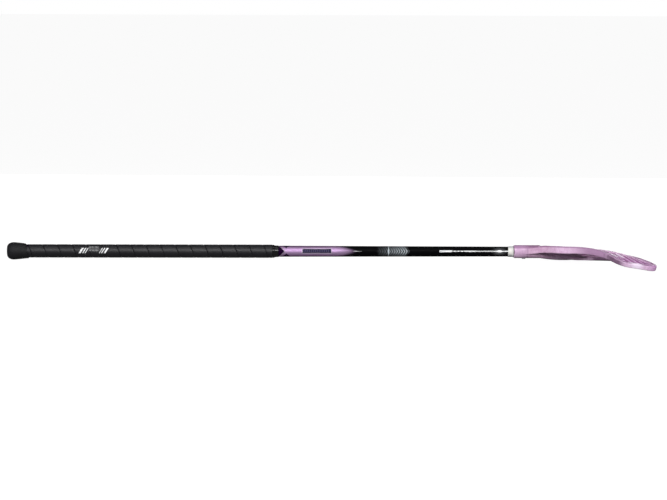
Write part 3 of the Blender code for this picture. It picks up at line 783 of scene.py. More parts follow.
def lacquer_finish():
    """Lacquer of the shaft: a metallic band that fades into black, with plain prints, painted shade
    towards the band's edges and painted highlights along the front line.
    """
    finish, g, shader, colours = new_finish("lacquered_composite")
    place = g.group("place_on_stick")
    along, arc = place["Along"], place["Round"]
    aside = g.off(arc)
    grain = g.grain(0.45, 9.0, 6.0)
    colour, band = lacquer_band(g, colours, grain, along, aside)
    colour, dark = arrow_print(g, colours, colour, along, arc)
    colour, bar = bar_print(g, colours, colour, grain["Mottle"], along, arc)
    colour = painted_band_highlight(g, colours, colour, along, aside)
    colour = arrowhead_print(g, colours, colour, along, aside)
    colour = badge_print(g, colours, colour, grain["Rub"], along, arc)
    colour = line_print(g, colours, colour, along, arc)
    plain = g.minus(1.0, g.most(dark, bar))
    g.feed(shader.inputs["Metallic"], g.times(band, plain, 0.85))
    rough = g.plus(worn(g, grain["Rub"], 0.34, 0.42, end=0.8), g.times(band, 0.2))
    coat(g, shader, colour, rough, (grain["Height"], 0.06, 0.2 * MM), specular=0.02)
    return finish


def motif_print(g, along, arc, rub):
    """The share of a plain motif: slanted bars that thin out, and dots between them."""
    slant = g.minus(along, g.times(arc, 0.6))
    bars = g.most(*(g.band(slant, low, high, 0.5) for low, high in MOTIF_BARS))
    bars = g.times(bars, g.band(arc, *MOTIF_HEIGHT, 0.5))
    step_x, step_y = [
        g.minus(g.math("PINGPONG", g.plus(value, start), DOT_STEP), DOT_STEP / 2)
        for value, start in ((along, 1.0), (arc, 0.4))
    ]
    dots = g.times(
        g.fall(g.length(step_x, step_y), 0.45, 0.75),
        g.band(along, *DOTS_LENGTH, 0.5),
        g.band(arc, *DOTS_HEIGHT, 0.4),
        0.6,
    )
    return g.times(g.most(bars, dots), g.ramp(rub, 0.3, 0.55, 0.55, 1.0))


def grip_finish():
    """Soft grip tape: darker at its seams, faintly grained, with a plain slanted motif."""
    finish, g, shader, colours = new_finish("grip_tape")
    place = g.group("place_on_stick")
    along, arc = place["Along"], place["Round"]
    grain = g.grain(0.5, 14.0)
    wound = g.over(g.minus(along, GRIP_START / MM), colours.grip.pitch / MM)
    phase = g.math("FRACT", g.minus(g.plus(wound, 2.0), place["Turn"]))
    edge = g.math("PINGPONG", phase, 0.5)
    seam = g.fall(edge, 0.008, 0.05)
    colour = g.mix(grain["Mottle"], colours.tape, colours.tape_light)
    colour = g.paint(colour, colours.tape_light, g.band(edge, 0.03, 0.075, 0.04), 0.15)
    colour = g.paint(colour, colours.black, seam, 0.4)
    colour = g.paint(colour, colours.white_print_and_highlight, motif_print(g, along, arc, grain["Rub"]))
    rough = worn(g, grain["Rub"], 0.46, 0.56, end=0.75)
    height = g.plus(g.times(grain["Height"], 0.6), g.times(seam, -0.5))
    coat(g, shader, colour, rough, (height, 0.35, 0.25 * MM), specular=0.52)
    return finish


def rubber_finish():
    """Matt moulded rubber of the knob, rubbed a little paler on its belly."""
    finish, g, shader, colours = new_finish("knob_rubber")
    grain = g.grain(0.4, 9.0)
    along = g.group("place_on_stick")["Along"]
    belly = g.fall(g.off(along, KNOB_BELLY_AT / MM), 0.0, 14.0)
    rub = g.times(belly, g.ramp(grain["Rub"], 0.35, 0.7))
    colour = g.mix(grain["Mottle"], colours.rubber, colours.tape)
    colour = g.paint(colour, colours.tape_light, rub, 0.5)
    rough = worn(g, grain["Rub"], 0.62, 0.74)
    coat(g, shader, colour, rough, (grain["Height"], 0.3, 0.2 * MM), specular=0.4)
    return finish


def vinyl_finish():
    """Glossy vinyl of the binding, with the edge of its last turn."""
    finish, g, shader, colours = new_finish("binding_vinyl")
    place = g.group("place_on_stick")
    grain = g.grain(0.9, 5.0)
    lap = g.band(g.plus(place["Along"], g.times(place["Round"], 0.06)), *LAP_EDGE, 0.25)
    colour = g.mix(grain["Mottle"], colours.black, colours.rubber)
    colour = g.paint(colour, colours.tape_light, lap, 0.5)
    height = g.plus(g.times(grain["Mottle"], 0.8), lap)
    coat(g, shader, colour, worn(g, grain["Rub"], 0.12, 0.24), (height, 0.25, 0.3 * MM))
    return finish


def sleeve_finish():
    """White moulded sleeve, with painted shade that greys its corner by the lip and its top and bottom,
    and darkens it inside the socket.
    """
    finish, g, shader, colours = new_finish("white_sleeve")
    place = g.group("place_on_stick")
    grain = g.grain(0.6, 6.0)
    mouth = (MOUTH - SEAT_GAP) / MM
    lip = mouth - SLEEVE_LIP_WIDTH / MM
    colour = g.paint(colours.sleeve, colours.grey_print_and_painted_light, grain["Mottle"], 0.35)
    # Painted shade in the corner at the foot of the lip.
    corner = g.band(place["Along"], lip - 0.85, lip + 0.15, 0.5)
    colour = g.paint(colour, colours.grey_print_and_painted_light, corner, 0.35)
    # Painted shade towards the top and bottom.
    sleeve_edge_shade = g.ramp(g.off(place["Round"]), 5.0, 9.0, 0.0, 0.75)
    colour = g.paint(colour, colours.grey_print_and_painted_light, sleeve_edge_shade)
    # Painted shade: dark where the sleeve runs inside the socket.
    inside = g.ramp(place["Along"], mouth - 0.15, mouth + 0.15, 0.0, 0.97)
    colour = g.paint(colour, colours.black, inside)
    rough = worn(g, grain["Rub"], 0.42, 0.52)
    coat(g, shader, colour, rough, (grain["Height"], 0.12, 0.2 * MM))
    return finish


# Tones of the blade, painted shade and painted highlights among them. Each takes the colour painted so
# far and returns it with the tones.


def marbled_tone(g, colours, place, grain, along_sole, height):
    """Two tones that flowed together, with deeper veins, and the mask of a long stretch of painted shade
    below the top rim whose edges wander with the marbling.
    """
    flow = g.noise(place, 0.045, 5.0, 0.62, 2.2)
    veins = g.noise(place, 0.11, 4.0, 0.6, 3.5)
    colour = g.mix(g.ramp(flow, 0.36, 0.62), colours.blade, colours.blade_pale)
    colour = g.paint(colour, colours.blade_veins_and_shade, g.ramp(veins, 0.52, 0.66, 0.0, 0.3))
    colour = g.paint(colour, colours.blade_pale, g.ramp(grain["Rub"], 0.55, 0.72, 0.0, 0.35))
    # Mask of painted shade below the top rim, its edges strayed by the flow.
    strayed = g.plus(along_sole, g.times(g.minus(flow, 0.5), 60.0))
    shade_patch = g.times(
        g.ramp(strayed, *PATCH_RISES),
        g.fall(strayed, *PATCH_FALLS),
        g.ramp(height, *PATCH_HEIGHTS),
    )
    return colour, shade_patch


def slot_tone(g, colours, colour, along_sole, height, rise, shade_patch):
    """Painted shade on the walls of the slots and along the back's edge, and an orchid face near the toe.
    """
    inside = g.times(g.band(height, *SLOT_HEIGHTS, 2.0), g.fall(along_sole, *SLOTS_END))
    wall = g.times(inside, g.fall(g.off(rise), *WALL_OUT))
    # Painted shade, deep magenta, on the walls of the slots.
    colour = g.paint(colour, colours.blade_wall_shade, wall, 0.9)
    # Painted shade below the top rim.
    colour = g.paint(colour, colours.blade_veins_and_shade, shade_patch, 0.9)
    edge = g.most(g.ramp(height, *EDGE_HEIGHTS), g.ramp(along_sole, *EDGE_DEEPENS))
    # Painted shade along the edge of the back.
    colour = g.paint(colour, colours.blade_veins_and_shade, g.times(g.ramp(rise, *EDGE_OUT), edge), 0.85)
    flush = g.times(inside, g.ramp(along_sole, *FACE_REDDENS, 0.0, 0.6))
    return g.paint(colour, colours.blade_tip, flush)


def toe_tone(g, colours, colour, along_sole, height, rise):
    """A painted highlight as a pale streak and a gleam by the toe, and painted shade on its top corner.
    """
    streak = g.times(
        g.band(height, *PALE_HEIGHTS, 12.0),
        g.band(along_sole, *PALE_LENGTH, 14.0),
        g.ramp(rise, *PALE_OUT),
    )
    gleam = g.times(g.band(height, *GLEAM_HEIGHTS, 18.0), g.ramp(along_sole, *GLEAM_STARTS))
    # Painted highlight on the toe's front.
    colour = g.paint(colour, colours.blade_painted_highlight, g.most(streak, gleam))
    # Painted shade on the toe's top corner.
    corner = g.times(
        g.ramp(along_sole, *CORNER_DARKENS),
        g.ramp(height, *CORNER_HEIGHTS),
        g.ramp(rise, *CORNER_OUT),
    )
    return g.paint(colour, colours.blade_painted_shade, corner, blend="MULTIPLY")


def shade_tone(g, colours, colour, along, along_sole, height, rise):
    """Painted shade on the underside of the sole, the dimmer neck, the orchid low corner of the toe, and
    a painted shadow and dark line at the crease where the rim leaves the socket."""
    # Painted shade on the underside of the sole.
    under = g.times(
        g.band(along_sole, *UNDER_LENGTH, 16.0),
        g.fall(height, *UNDER_HEIGHTS),
        g.ramp(rise, *UNDER_OUT),
    )
    colour = g.paint(colour, colours.blade_veins_and_shade, under, 0.8)
    colour = g.paint(colour, colours.blade_painted_shade, under, 0.5, blend="MULTIPLY")
    near = g.times(g.ramp(along, *NECK_DARKENS, 0.1, 1.0), g.fall(along, *NECK_CLEARS))
    colour = g.paint(colour, colours.blade_near, near, blend="MULTIPLY")
    tip = g.times(g.ramp(along_sole, *TIP_REDDENS), g.fall(height, *TIP_HEIGHTS))
    colour = g.paint(colour, colours.blade_tip, tip, 0.7)
    # A painted shadow and dark line at the crease where the rim leaves the socket.
    start = SOCKET_CREASE[0]
    shadow = g.ramp(along, start - 0.5, start + 1.5, 0.45, 0.0)
    line = g.plus(shadow, g.band(along, *SOCKET_CREASE, 1.0))
    line = g.times(line, g.ramp(along_sole, *SOCKET_SIDE))
    return g.paint(colour, colours.blade_veins_and_shade, line, 0.6)


def blade_finish():
    """Pearly moulded plastic of the blade, marbled where two tones flowed together, with painted shade
    and painted highlights laid over it.
    """
    finish, g, shader, colours = new_finish("marbled_plastic")
    place = g.group("place_on_stick")
    along_sole, height, rise = g.parts(g.kept_places("blade_mm"))
    grain = g.grain(0.7, 16.0)
    colour, shade_patch = marbled_tone(g, colours, place["Place"], grain, along_sole, height)
    colour = slot_tone(g, colours, colour, along_sole, height, rise, shade_patch)
    colour = toe_tone(g, colours, colour, along_sole, height, rise)
    colour = shade_tone(g, colours, colour, place["Along"], along_sole, height, rise)
    rough = worn(g, grain["Mottle"], 0.46, 0.58)
    coat(g, shader, colour, rough, (grain["Height"], 0.1, 0.2 * MM), specular=0.3)
    return finish


def zinc_finish():
    """Zinc-plated steel of the screw, finely grained and rubbed here and there."""
    finish, g, shader, colours = new_finish("zinc_steel")
    grain = g.grain(0.25, 1.6)
    colour = g.mix(grain["Mottle"], colours.zinc, colours.grey_print_and_painted_light)
    shader.inputs["Metallic"].default_value = 1.0
    rough = worn(g, grain["Rub"], 0.26, 0.42)
    coat(g, shader, colour, rough, (grain["Height"], 0.15, 0.1 * MM))
    return finish


def plug_finish():
    """Plain black plastic of the end plug, with a fine moulded grain."""
    finish, g, shader, colours = new_finish("plug_plastic")
    grain = g.grain(0.5, 6.0)
    colour = g.mix(grain["Mottle"], colours.rubber, colours.tape_light)
    rough = worn(g, grain["Rub"], 0.42, 0.55)
    coat(g, shader, colour, rough, (grain["Height"], 0.2, 0.2 * MM))
    return finish


# Pieces


# Section of the tape as (share across, share of its thickness), ending where it began.
TAPE_SECTION = (
    (0.0, 0.0),
    (0.0, 0.62),
    (0.012, 0.8),
    (0.035, 0.92),
    (0.07, 0.985),
    (0.14, 1.0),
    (0.38, 1.0),
    (0.62, 1.0),
    (0.86, 1.0),
    (0.93, 0.985),
    (0.965, 0.92),
    (0.988, 0.8),
    (1.0, 0.62),
    (1.0, 0.0),
    (0.5, 0.0),
    (0.0, 0.0),
)


def section_curve(g, across, column):
    """A curve that gives one column of the tape's section from the share across its grid."""
    curve = g.node("ShaderNodeFloatCurve", {"Value": across})
    points = curve.mapping.curves[0].points
    marks = [(i / (len(TAPE_SECTION) - 1), row[column]) for i, row in enumerate(TAPE_SECTION)]
    while len(points) < len(marks):
        points.new(0.5, 0.5)
    for point, mark in zip(points, marks):
        point.location = mark
        point.handle_type = "VECTOR"
    curve.mapping.update()
    return curve.outputs[0]


def grip_tree():
    """Geometry nodes that wind the grip tape: a grid whose rows follow the tape and whose
    columns run round its section, bent onto the helix and cut square at both ends."""
    tree = bpy.data.node_groups.new("wound_tape", "GeometryNodeTree")
    tree.interface.new_socket("Geometry", in_out="INPUT", socket_type="NodeSocketGeometry")
    kinds = dict.fromkeys(("Start", "End", "Pitch", "Seam", "Inner Radius", "Outer Radius"), FLOAT)
    kinds.update({"Narrowest": FLOAT, "Edge Wander": FLOAT})
    kinds.update({"Steps": "NodeSocketInt", "Finish": "NodeSocketMaterial"})
    sockets = {
        label: tree.interface.new_socket(label, in_out="INPUT", socket_type=kind)
        for label, kind in kinds.items()
    }
    tree.interface.new_socket("Geometry", in_out="OUTPUT", socket_type="NodeSocketGeometry")
    g = Graph(tree)
    given = tree.nodes.new("NodeGroupInput").outputs
    grid = g.node(
        "GeometryNodeMeshGrid",
        {"Size X": 1.0, "Size Y": 1.0, "Vertices X": given["Steps"], "Vertices Y": len(TAPE_SECTION)},
    )
    spot = g.parts(g.node("GeometryNodeInputPosition").outputs[0])
    pitch, narrowest = given["Pitch"], given["Narrowest"]
    turns = g.plus(g.over(g.minus(given["End"], given["Start"]), pitch), 1.0)
    first = g.over(narrowest, pitch)
    last = g.minus(turns, g.over(g.plus(narrowest, given["Seam"]), pitch))
    share = g.plus(spot[0], 0.5)
    wound = g.plus(first, g.times(g.minus(last, first), share))
    right = g.plus(given["Start"], g.times(pitch, wound))
    left = g.plus(g.minus(right, pitch), given["Seam"])

    def wander(edge_turn):
        seed = g.joined(edge_turn, 4.2, 0.0)
        return g.times(g.minus(g.noise(seed, 1.7, 2.0), 0.5), given["Edge Wander"])

    right = g.math("MINIMUM", g.plus(right, wander(wound)), given["End"])
    left = g.most(g.plus(left, wander(g.minus(wound, 1.0))), given["Start"])
    across = g.plus(spot[1], 0.5)
    sideways, outwards = [section_curve(g, across, column) for column in (0, 1)]
    x = g.plus(left, g.times(g.minus(right, left), sideways))
    thick = g.minus(given["Outer Radius"], given["Inner Radius"])
    radius = g.plus(given["Inner Radius"], g.times(thick, outwards))
    turn = g.times(wound, math.tau)
    y = g.times(radius, g.math("SINE", turn), -1.0)
    z = g.times(radius, g.math("COSINE", turn))
    bent = g.joined(x, y, z)
    moved = g.node("GeometryNodeSetPosition", {"Geometry": grid.outputs[0], "Position": bent})
    merging = {"Geometry": moved.outputs[0], "Distance": 0.01 * MM}
    closed = g.node("GeometryNodeMergeByDistance", merging)
    real = g.node("GeometryNodeRealizeInstances", {0: closed.outputs[0]})
    dressing = {"Geometry": real.outputs[0], "Material": given["Finish"]}
    dressed = g.node("GeometryNodeSetMaterial", dressing)
    g.feed(tree.nodes.new("NodeGroupOutput").inputs[0], dressed.outputs[0])
    return tree, {label: socket.identifier for label, socket in sockets.items()}


def build_grip():
    """Winds the grip tape and closes its two cut ends."""
    sizes = looks().grip
    finish = grip_finish()
    tree, names = grip_tree()
    turns = (GRIP_END - GRIP_START) / sizes.pitch + 1
    path = shown("grip_path", bpy.data.meshes.new("grip_path"))
    winding = path.modifiers.new("winding", "NODES")
    winding.node_group = tree
    values = {
        "Start": GRIP_START,
        "End": GRIP_END,
        "Pitch": sizes.pitch,
        "Seam": sizes.seam,
        "Inner Radius": SHAFT_TOP_DIAMETER / 2 + SEAT_GAP,
        "Outer Radius": GRIP_DIAMETER / 2,
        "Narrowest": TAPE_NARROWEST,
        "Edge Wander": sizes.wander,
        "Steps": math.ceil(turns * sizes.steps),
        "Finish": finish,
    }
    for label, value in values.items():
        winding[names[label]] = value
    wound = shaped(path)
    bpy.data.objects.remove(path)

    def fill(made):
        made.from_mesh(wound)
        bmesh.ops.holes_fill(made, edges=[edge for edge in made.edges if edge.is_boundary])

    mesh = mesh_of("grip_tape", fill)
    stand_for(placed("grip_tape", mesh, finish, angle=50), "grip_wrap")


def build_knob():
    """The rubber knob, whose lip runs a little further over the tape below than above."""
    face, belly, lip = KNOB_FACE_DIAMETER / 2, KNOB_DIAMETER / 2, KNOB_LIP_DIAMETER / 2
    bend = KNOB_BELLY_AT + KNOB_SIDE_BEND * (KNOB_LENGTH - KNOB_BELLY_AT)
    bore = shaft_radius(SHAFT_START) + SEAT_GAP
    over_tape = GRIP_DIAMETER / 2 + KNOB_OVER_TAPE_GAP
    rows = []
    dome_steps, side_steps = 16, 14
    for i in range(dome_steps + 1):
        turn = math.radians(90) * i / dome_steps
        x = KNOB_BELLY_AT - (KNOB_BELLY_AT - KNOB_FACE_AT) * math.cos(turn)
        rows.append((x, face + (belly - face) * math.sin(turn)))
    for i in range(1, side_steps - 1):
        s = i / side_steps
        x = (1 - s) ** 2 * KNOB_BELLY_AT + 2 * s * (1 - s) * bend + s**2 * KNOB_LENGTH
        rows.append((x, (1 - s**2) * belly + s**2 * lip))

    def lip_end(turn):
        return KNOB_LENGTH + KNOB_LIP_AHEAD - KNOB_LIP_LEAN * math.cos(turn)

    rows += [
        lambda turn: (lip_end(turn) - 0.5 * MM, lip - 0.1 * MM),
        lambda turn: (lip_end(turn) - 0.1 * MM, lip - 0.3 * MM),
        lambda turn: (lip_end(turn), over_tape + 0.15 * MM),
        lambda turn: (lip_end(turn), over_tape),
    ]
    rows += [(KNOB_LENGTH, over_tape), (KNOB_LENGTH, bore), (KNOB_SKIN, bore)]
    vent = KNOB_VENT_DIAMETER / 2
    rows += [
        (KNOB_SKIN, vent),
        (KNOB_FACE_AT + KNOB_VENT_CHAMFER, vent),
        (KNOB_FACE_AT, vent + KNOB_VENT_CHAMFER),
    ]
    mesh = mesh_of("knob", lambda made: turned(made, rows))
    stand_for(placed("knob", mesh, rubber_finish(), angle=40), "butt_knob")


# Outline of the binding as (millimetres from its start, share of the way up to the tape).
BINDING_SHAPE = (
    (0.0, 0.72),
    (0.15, 0.93),
    (0.4, 1.0),
    (1.2, 0.99),
    (2.0, 0.86),
    (2.8, 0.6),
    (3.5, 0.36),
    (4.2, 0.2),
    (5.2, 0.1),
    (6.4, 0.04),
    (6.6, 0.0),
    (10.2, 0.0),
    (10.4, -0.12),
)


def build_binding():
    """The vinyl binding: two laps that step down onto the bare shaft."""
    bore = SHAFT_TOP_DIAMETER / 2 + SEAT_GAP
    thin, thick = bore + BINDING_THICKNESS, GRIP_DIAMETER / 2
    rows = [(BINDING_START + x * MM, thin + share * (thick - thin)) for x, share in BINDING_SHAPE]
    rows += [(BINDING_END, bore), (BINDING_START, bore)]
    mesh = mesh_of("binding", lambda made: turned(made, rows))
    stand_for(placed("binding", mesh, vinyl_finish()), "grip_binding")


def build_shaft():
    """The lacquered tube, with the screw's pilot hole."""
    near = 20 * MM
    stations = [SHAFT_START, SHAFT_START + near, TAPER_START, SHAFT_END - near, SHAFT_END]
    rows = [(x, shaft_radius(x)) for x in stations]
    rows += [(x, shaft_radius(x) - SHAFT_WALL) for x in reversed(stations)]
    body = helper("shaft_body", lambda made: turned(made, rows, SHAFT_SEGMENTS))
    pilot = screw_drum("shaft_pilot", SCREW_DIAMETER, -SHAFT_TOP_DIAMETER, -SHAFT_TIP_DIAMETER / 4)
    mesh = cut("shaft", body, pilot)
    stand_for(placed("shaft", mesh, lacquer_finish()), "shaft_tube")


def sleeve_bore():
    """Inner radius of the fitting sleeve."""
    return shaft_radius(MOUTH - SLEEVE_SHOWING) + SEAT_GAP


def build_sleeve():
    """The white sleeve between shaft and blade, with its lip at the socket's mouth."""
    bore = sleeve_bore()
    outer = bore + SLEEVE_WALL
    lip_end = MOUTH - SEAT_GAP
    lip_start = lip_end - SLEEVE_LIP_WIDTH
    top = outer + SLEEVE_LIP_HEIGHT
    start = MOUTH - SLEEVE_SHOWING
    rows = [
        (start, bore),
        (start, outer - 0.15 * MM),
        (start + 0.15 * MM, outer),
        (lip_start, outer),
        (lip_start + 0.2 * MM, outer + 0.35 * MM),
        (lip_start + 0.5 * MM, top),
        (lip_end - 0.3 * MM, top),
        (lip_end, top - 0.25 * MM),
        (lip_end, outer),
        (MOUTH + SLEEVE_DEPTH, outer),
        (MOUTH + SLEEVE_DEPTH, bore),
    ]
    body = helper("sleeve_body", lambda made: turned(made, rows))
    hole = screw_drum("sleeve_hole", SCREW_DIAMETER, -SOCKET_DIAMETER, -SHAFT_TIP_DIAMETER / 4)
    mesh = cut("sleeve", body, hole)
    stand_for(placed("sleeve", mesh, sleeve_finish()), "fitting_sleeve")


def in_blade_plane(along, forward):
    """(t, h) on the blade of a point at along from the mouth and forward of the axis."""
    t = (along - SOLE_AT) * math.cos(LIE_ANGLE) + forward * math.sin(LIE_ANGLE)
    h = forward * math.cos(LIE_ANGLE) - (along - SOLE_AT) * math.sin(LIE_ANGLE)
    return Vector((t, h))


def heel_curve(h):
    """How the heel curls up at the sole and down a little above it."""
    if h < HEEL_HOLLOW_AT:
        return HEEL_RISE - (HEEL_RISE + HEEL_DIP) * smooth(h / HEEL_HOLLOW_AT)
    return -HEEL_DIP * (1 - smooth((h - HEEL_HOLLOW_AT) / HEEL_HOLLOW_AT))


def surface(t, h):
    """The point of the blade's middle surface at t along the sole and h above it."""
    along = SOLE_AT + t * math.cos(LIE_ANGLE) - h * math.sin(LIE_ANGLE)
    forward = t * math.sin(LIE_ANGLE) + h * math.cos(LIE_ANGLE)
    share = held(t / BLADE_LENGTH)
    opening = math.tan(OPEN_AT_HEEL + (OPEN_AT_TOE - OPEN_AT_HEEL) * share)
    near_neck = held(h / HEIGHT_AT_NECK)
    clear = smooth(forward / (2 * SOCKET_RADIUS))
    lift = FACE_LIFT * (1 - near_neck * (1 - clear))
    lift += NECK_LIFT * near_neck * clear * (1 - smooth(t / NECK_LIFT_ENDS))
    drop = opening * (HEIGHT_AT_NECK - min(h, HEIGHT_AT_NECK))
    bow = BOW_DEPTH * math.sin(math.pi * near_neck) + SOLE_BOW * (1 - near_neck)
    bow *= math.sin(math.pi * share)
    hook = HOOK_DEPTH * max(0, t / BLADE_LENGTH) ** HOOK_POWER * (1 + HOOK_SKEW * near_neck)
    rise = lift - drop + bow - hook + heel_curve(h) * (1 - share) ** 3
    return Vector((MOUTH + along, -forward, rise))


def surface_normal(t, h):
    """The unit normal of the middle surface, on the blade's back."""
    step = 0.5 * MM
    along_t = surface(t + step, h) - surface(t - step, h)
    along_h = surface(t, h + step) - surface(t, h - step)
    normal = along_t.cross(along_h).normalized()
    return normal if normal.z > 0 else -normal


def on_blade(point):
    """(t, h, rise above the middle surface) of a point in the stick's frame."""
    plane = in_blade_plane(point.x - MOUTH, -point.y)
    return plane.x, plane.y, point.z - surface(plane.x, plane.y).z


def area(a, b):
    """The signed area between two directions in the blade's plane."""
    return a.x * b.y - a.y * b.x


def crossing(first, second):
    """Where two lines, each (point, direction) in the blade's plane, meet."""
    (p, d), (q, e) = first, second
    return p + d * (area(q - p, e) / area(d, e))


def add_straight(path, goal):
    """Carries path on to goal in even steps."""
    start = path[-1]
    count = max(1, math.ceil((goal - start).length / PATH_STEP))
    path.extend(start.lerp(goal, k / count) for k in range(1, count + 1))


def rounded_path(start, corners, end):
    """Points from start to end, with each (corner, radius) between them rounded."""
    marks = [start] + [corner for corner, _ in corners] + [end]
    path = [start]
    for i, (corner, radius) in enumerate(corners):
        back = (marks[i] - corner).normalized()
        ahead = (marks[i + 2] - corner).normalized()
        half = math.acos(max(-1, min(1, back.dot(ahead)))) / 2
        centre = corner + (back + ahead).normalized() * (radius / math.sin(half))
        leave = corner + back * (radius / math.tan(half))
        spoke = leave - centre
        sweep = math.pi - 2 * half
        if area(back, ahead) > 0:
            sweep = -sweep
        add_straight(path, leave)
        count = max(2, math.ceil(abs(sweep) * radius / ARC_STEP))
        for k in range(1, count + 1):
            path.append(centre + Matrix.Rotation(sweep * k / count, 2) @ spoke)
    add_straight(path, end)
    return path


def rim_path():
    """The middle of the rim: neck, top edge, toe, sole and heel, ending up the back."""
    half = RIM_WIDTH / 2
    shaft_way = in_blade_plane(1, 0) - in_blade_plane(0, 0)
    front = (in_blade_plane(0, RIM_INSET), shaft_way)
    back = (in_blade_plane(0, -RIM_INSET), shaft_way)
    rise = Vector((BLADE_LENGTH, HEIGHT_AT_TOE - HEIGHT_AT_NECK))
    top = (Vector((0, HEIGHT_AT_NECK - half)), rise)
    toe = (Vector((BLADE_LENGTH - half, 0)), Vector((0, 1)))
    sole = (Vector((0, half)), Vector((1, 0)))
    corners = [
        (crossing(front, top), NECK_RADIUS + half),
        (crossing(top, toe), TOE_TOP_RADIUS - half),
        (crossing(toe, sole), TOE_LOW_RADIUS - half),
        (crossing(sole, back), HEEL_RADIUS - half),
    ]
    start = in_blade_plane(SOCKET_LENGTH / 3, RIM_INSET)
    end = in_blade_plane(SOCKET_LENGTH + RIM_WIDTH, -RIM_INSET)
    return rounded_path(start, corners, end)


def rim_depth(t, h):
    """Thickness of the rim at t along the sole and h above it: least at the toe's top."""
    share = held(t / BLADE_LENGTH)
    near_top = held(h / HEIGHT_AT_TOE)
    at_toe = RIM_DEPTH_AT_TOE + (RIM_DEPTH_AT_TIP - RIM_DEPTH_AT_TOE) * near_top
    return RIM_DEPTH_AT_NECK + (at_toe - RIM_DEPTH_AT_NECK) * share**2


def rounded_box(width, depth, radius, steps):
    """A width by depth rectangle whose corners are rounded by radius in so many steps."""
    half_w, half_d = width / 2 - radius, depth / 2 - radius
    quarter = []
    for i in range(steps + 1):
        turn = math.radians(90) * i / steps
        quarter.append((half_w + radius * math.cos(turn), half_d + radius * math.sin(turn)))
    mirrored = [(-w, d) for w, d in reversed(quarter)]
    return quarter + mirrored + [(-w, -d) for w, d in quarter + mirrored]


def bar_sections(path, width, depth, radius, steps=3):
    """Sections of a bar that follows path on the blade. depth may be a function of (t, h)."""
    points = [surface(p.x, p.y) for p in path]
    sections = []
    for i, (p, point) in enumerate(zip(path, points)):
        ahead = points[min(i + 1, len(points) - 1)] - points[max(i - 1, 0)]
        normal = surface_normal(p.x, p.y)
        side = ahead.cross(normal).normalized()
        thick = depth(p.x, p.y) if callable(depth) else depth
        profile = rounded_box(width, thick, radius, steps)
        sections.append([point + side * a + normal * b for a, b in profile])
    return sections


def reach_to_rim(start, way, path, default=0):
    """Where a line from start along way first meets the rim's middle, or else default on."""
    found = []
    for a, b in zip(path, path[1:]):
        edge = b - a
        scale = area(way, edge)
        if scale == 0:
            continue
        far = area(a - start, edge) / scale
        on_edge = area(a - start, way) / scale
        if far > 0 and 0 <= on_edge <= 1:
            found.append(far)
    return start + way * min(found, default=default)


def straight_path(start, end):
    """Points from start to end in even steps."""
    path = [start]
    add_straight(path, end)
    return path


def web_edge(h):
    """How far along the sole the web reaches at height h."""
    share = held(h / HEIGHT_AT_NECK)
    return WEB_AT_SOLE + (WEB_AT_TOP - WEB_AT_SOLE) * share - WEB_HOLLOW * math.sin(math.pi * share)


def fill_ribs(made, path):
    """The long ribs and the leaning ties between them."""
    for i in range(RIB_COUNT):
        share = (i + 1) / (RIB_COUNT + 1)
        height = RIM_WIDTH / 2 + share * (HEIGHT_AT_NECK - RIM_WIDTH)
        root = Vector((web_edge(height) - RIB_ROOT, height))
        toe_end = Vector((BLADE_LENGTH, RIM_WIDTH / 2 + share * (HEIGHT_AT_TOE - RIM_WIDTH)))
        line = straight_path(root, reach_to_rim(root, (toe_end - root).normalized(), path))

        def depth(t, h, start=root.x):
            buried = WEB_DEPTH - 2 * SEAT_GAP
            return buried + (RIB_DEPTH - buried) * smooth((t - start) / RIB_RISE)

        swept(made, bar_sections(line, RIB_WIDTH, depth, RIB_ROUND))
    lean = Vector((math.sin(TIE_LEAN), math.cos(TIE_LEAN)))
    for place in TIE_PLACES:
        foot = Vector((place, RIM_WIDTH / 2))
        head = reach_to_rim(foot + lean * RIM_WIDTH, lean, path)
        line = straight_path(foot, head)
        swept(made, bar_sections(line, TIE_WIDTH, RIB_DEPTH - 2 * SEAT_GAP, RIB_ROUND))


def fill_web(made, path):
    """The thin plate between the spine, the rim and the first slots."""
    rows, columns = 30, 14
    low, high = 0.75 * RIM_WIDTH, in_blade_plane(SOCKET_LENGTH, SOCKET_RADIUS).y
    sections = []
    for i in range(rows + 1):
        h = low + (high - low) * i / rows
        behind = -(RIM_INSET + h * math.cos(LIE_ANGLE)) / math.sin(LIE_ANGLE)
        inside = Vector((behind + 2 * RIM_WIDTH, h))
        left = reach_to_rim(inside, Vector((-1, 0)), path, default=inside.x - behind).x
        right = min(web_edge(h), reach_to_rim(inside, Vector((1, 0)), path).x)
        upper, lower = [], []
        for k in range(columns + 1):
            t = left + (right - left) * k / columns
            offset = surface_normal(t, h) * (WEB_DEPTH / 2)
            upper.append(surface(t, h) + offset)
            lower.append(surface(t, h) - offset)
        sections.append(upper + lower[::-1])
    swept(made, sections)


def fill_spine(made):
    """The thick back of the blade: round below the socket, it narrows into the heel."""
    begin, end = SOCKET_LENGTH, SOLE_AT - HEEL_RADIUS
    full = SOCKET_RADIUS - SPINE_SHOULDER
    across_end, thick_end = RIM_WIDTH / 2 - RIM_SINK, rim_depth(0, 0) / 2 - RIM_SINK
    count, facets = 30, 64
    sections = []
    for i in range(count + 1):
        share = i / count
        plane = in_blade_plane(begin + (end - begin) * share, -RIM_INSET * smooth(share))
        middle = surface(plane.x, plane.y)
        middle.z -= SPINE_SAG * math.sin(math.pi * share)
        across = full + (across_end - full) * share
        thick = full + (thick_end - full) * share
        power = 1 - SPINE_SQUARENESS * share
        ring = []
        for k in range(facets):
            turn = math.tau * k / facets
            side = math.copysign(abs(math.cos(turn)) ** power, math.cos(turn))
            rise = math.copysign(abs(math.sin(turn)) ** power, math.sin(turn))
            ring.append(middle + Vector((0, across * side, thick * rise)))
        sections.append(ring)
    swept(made, sections)


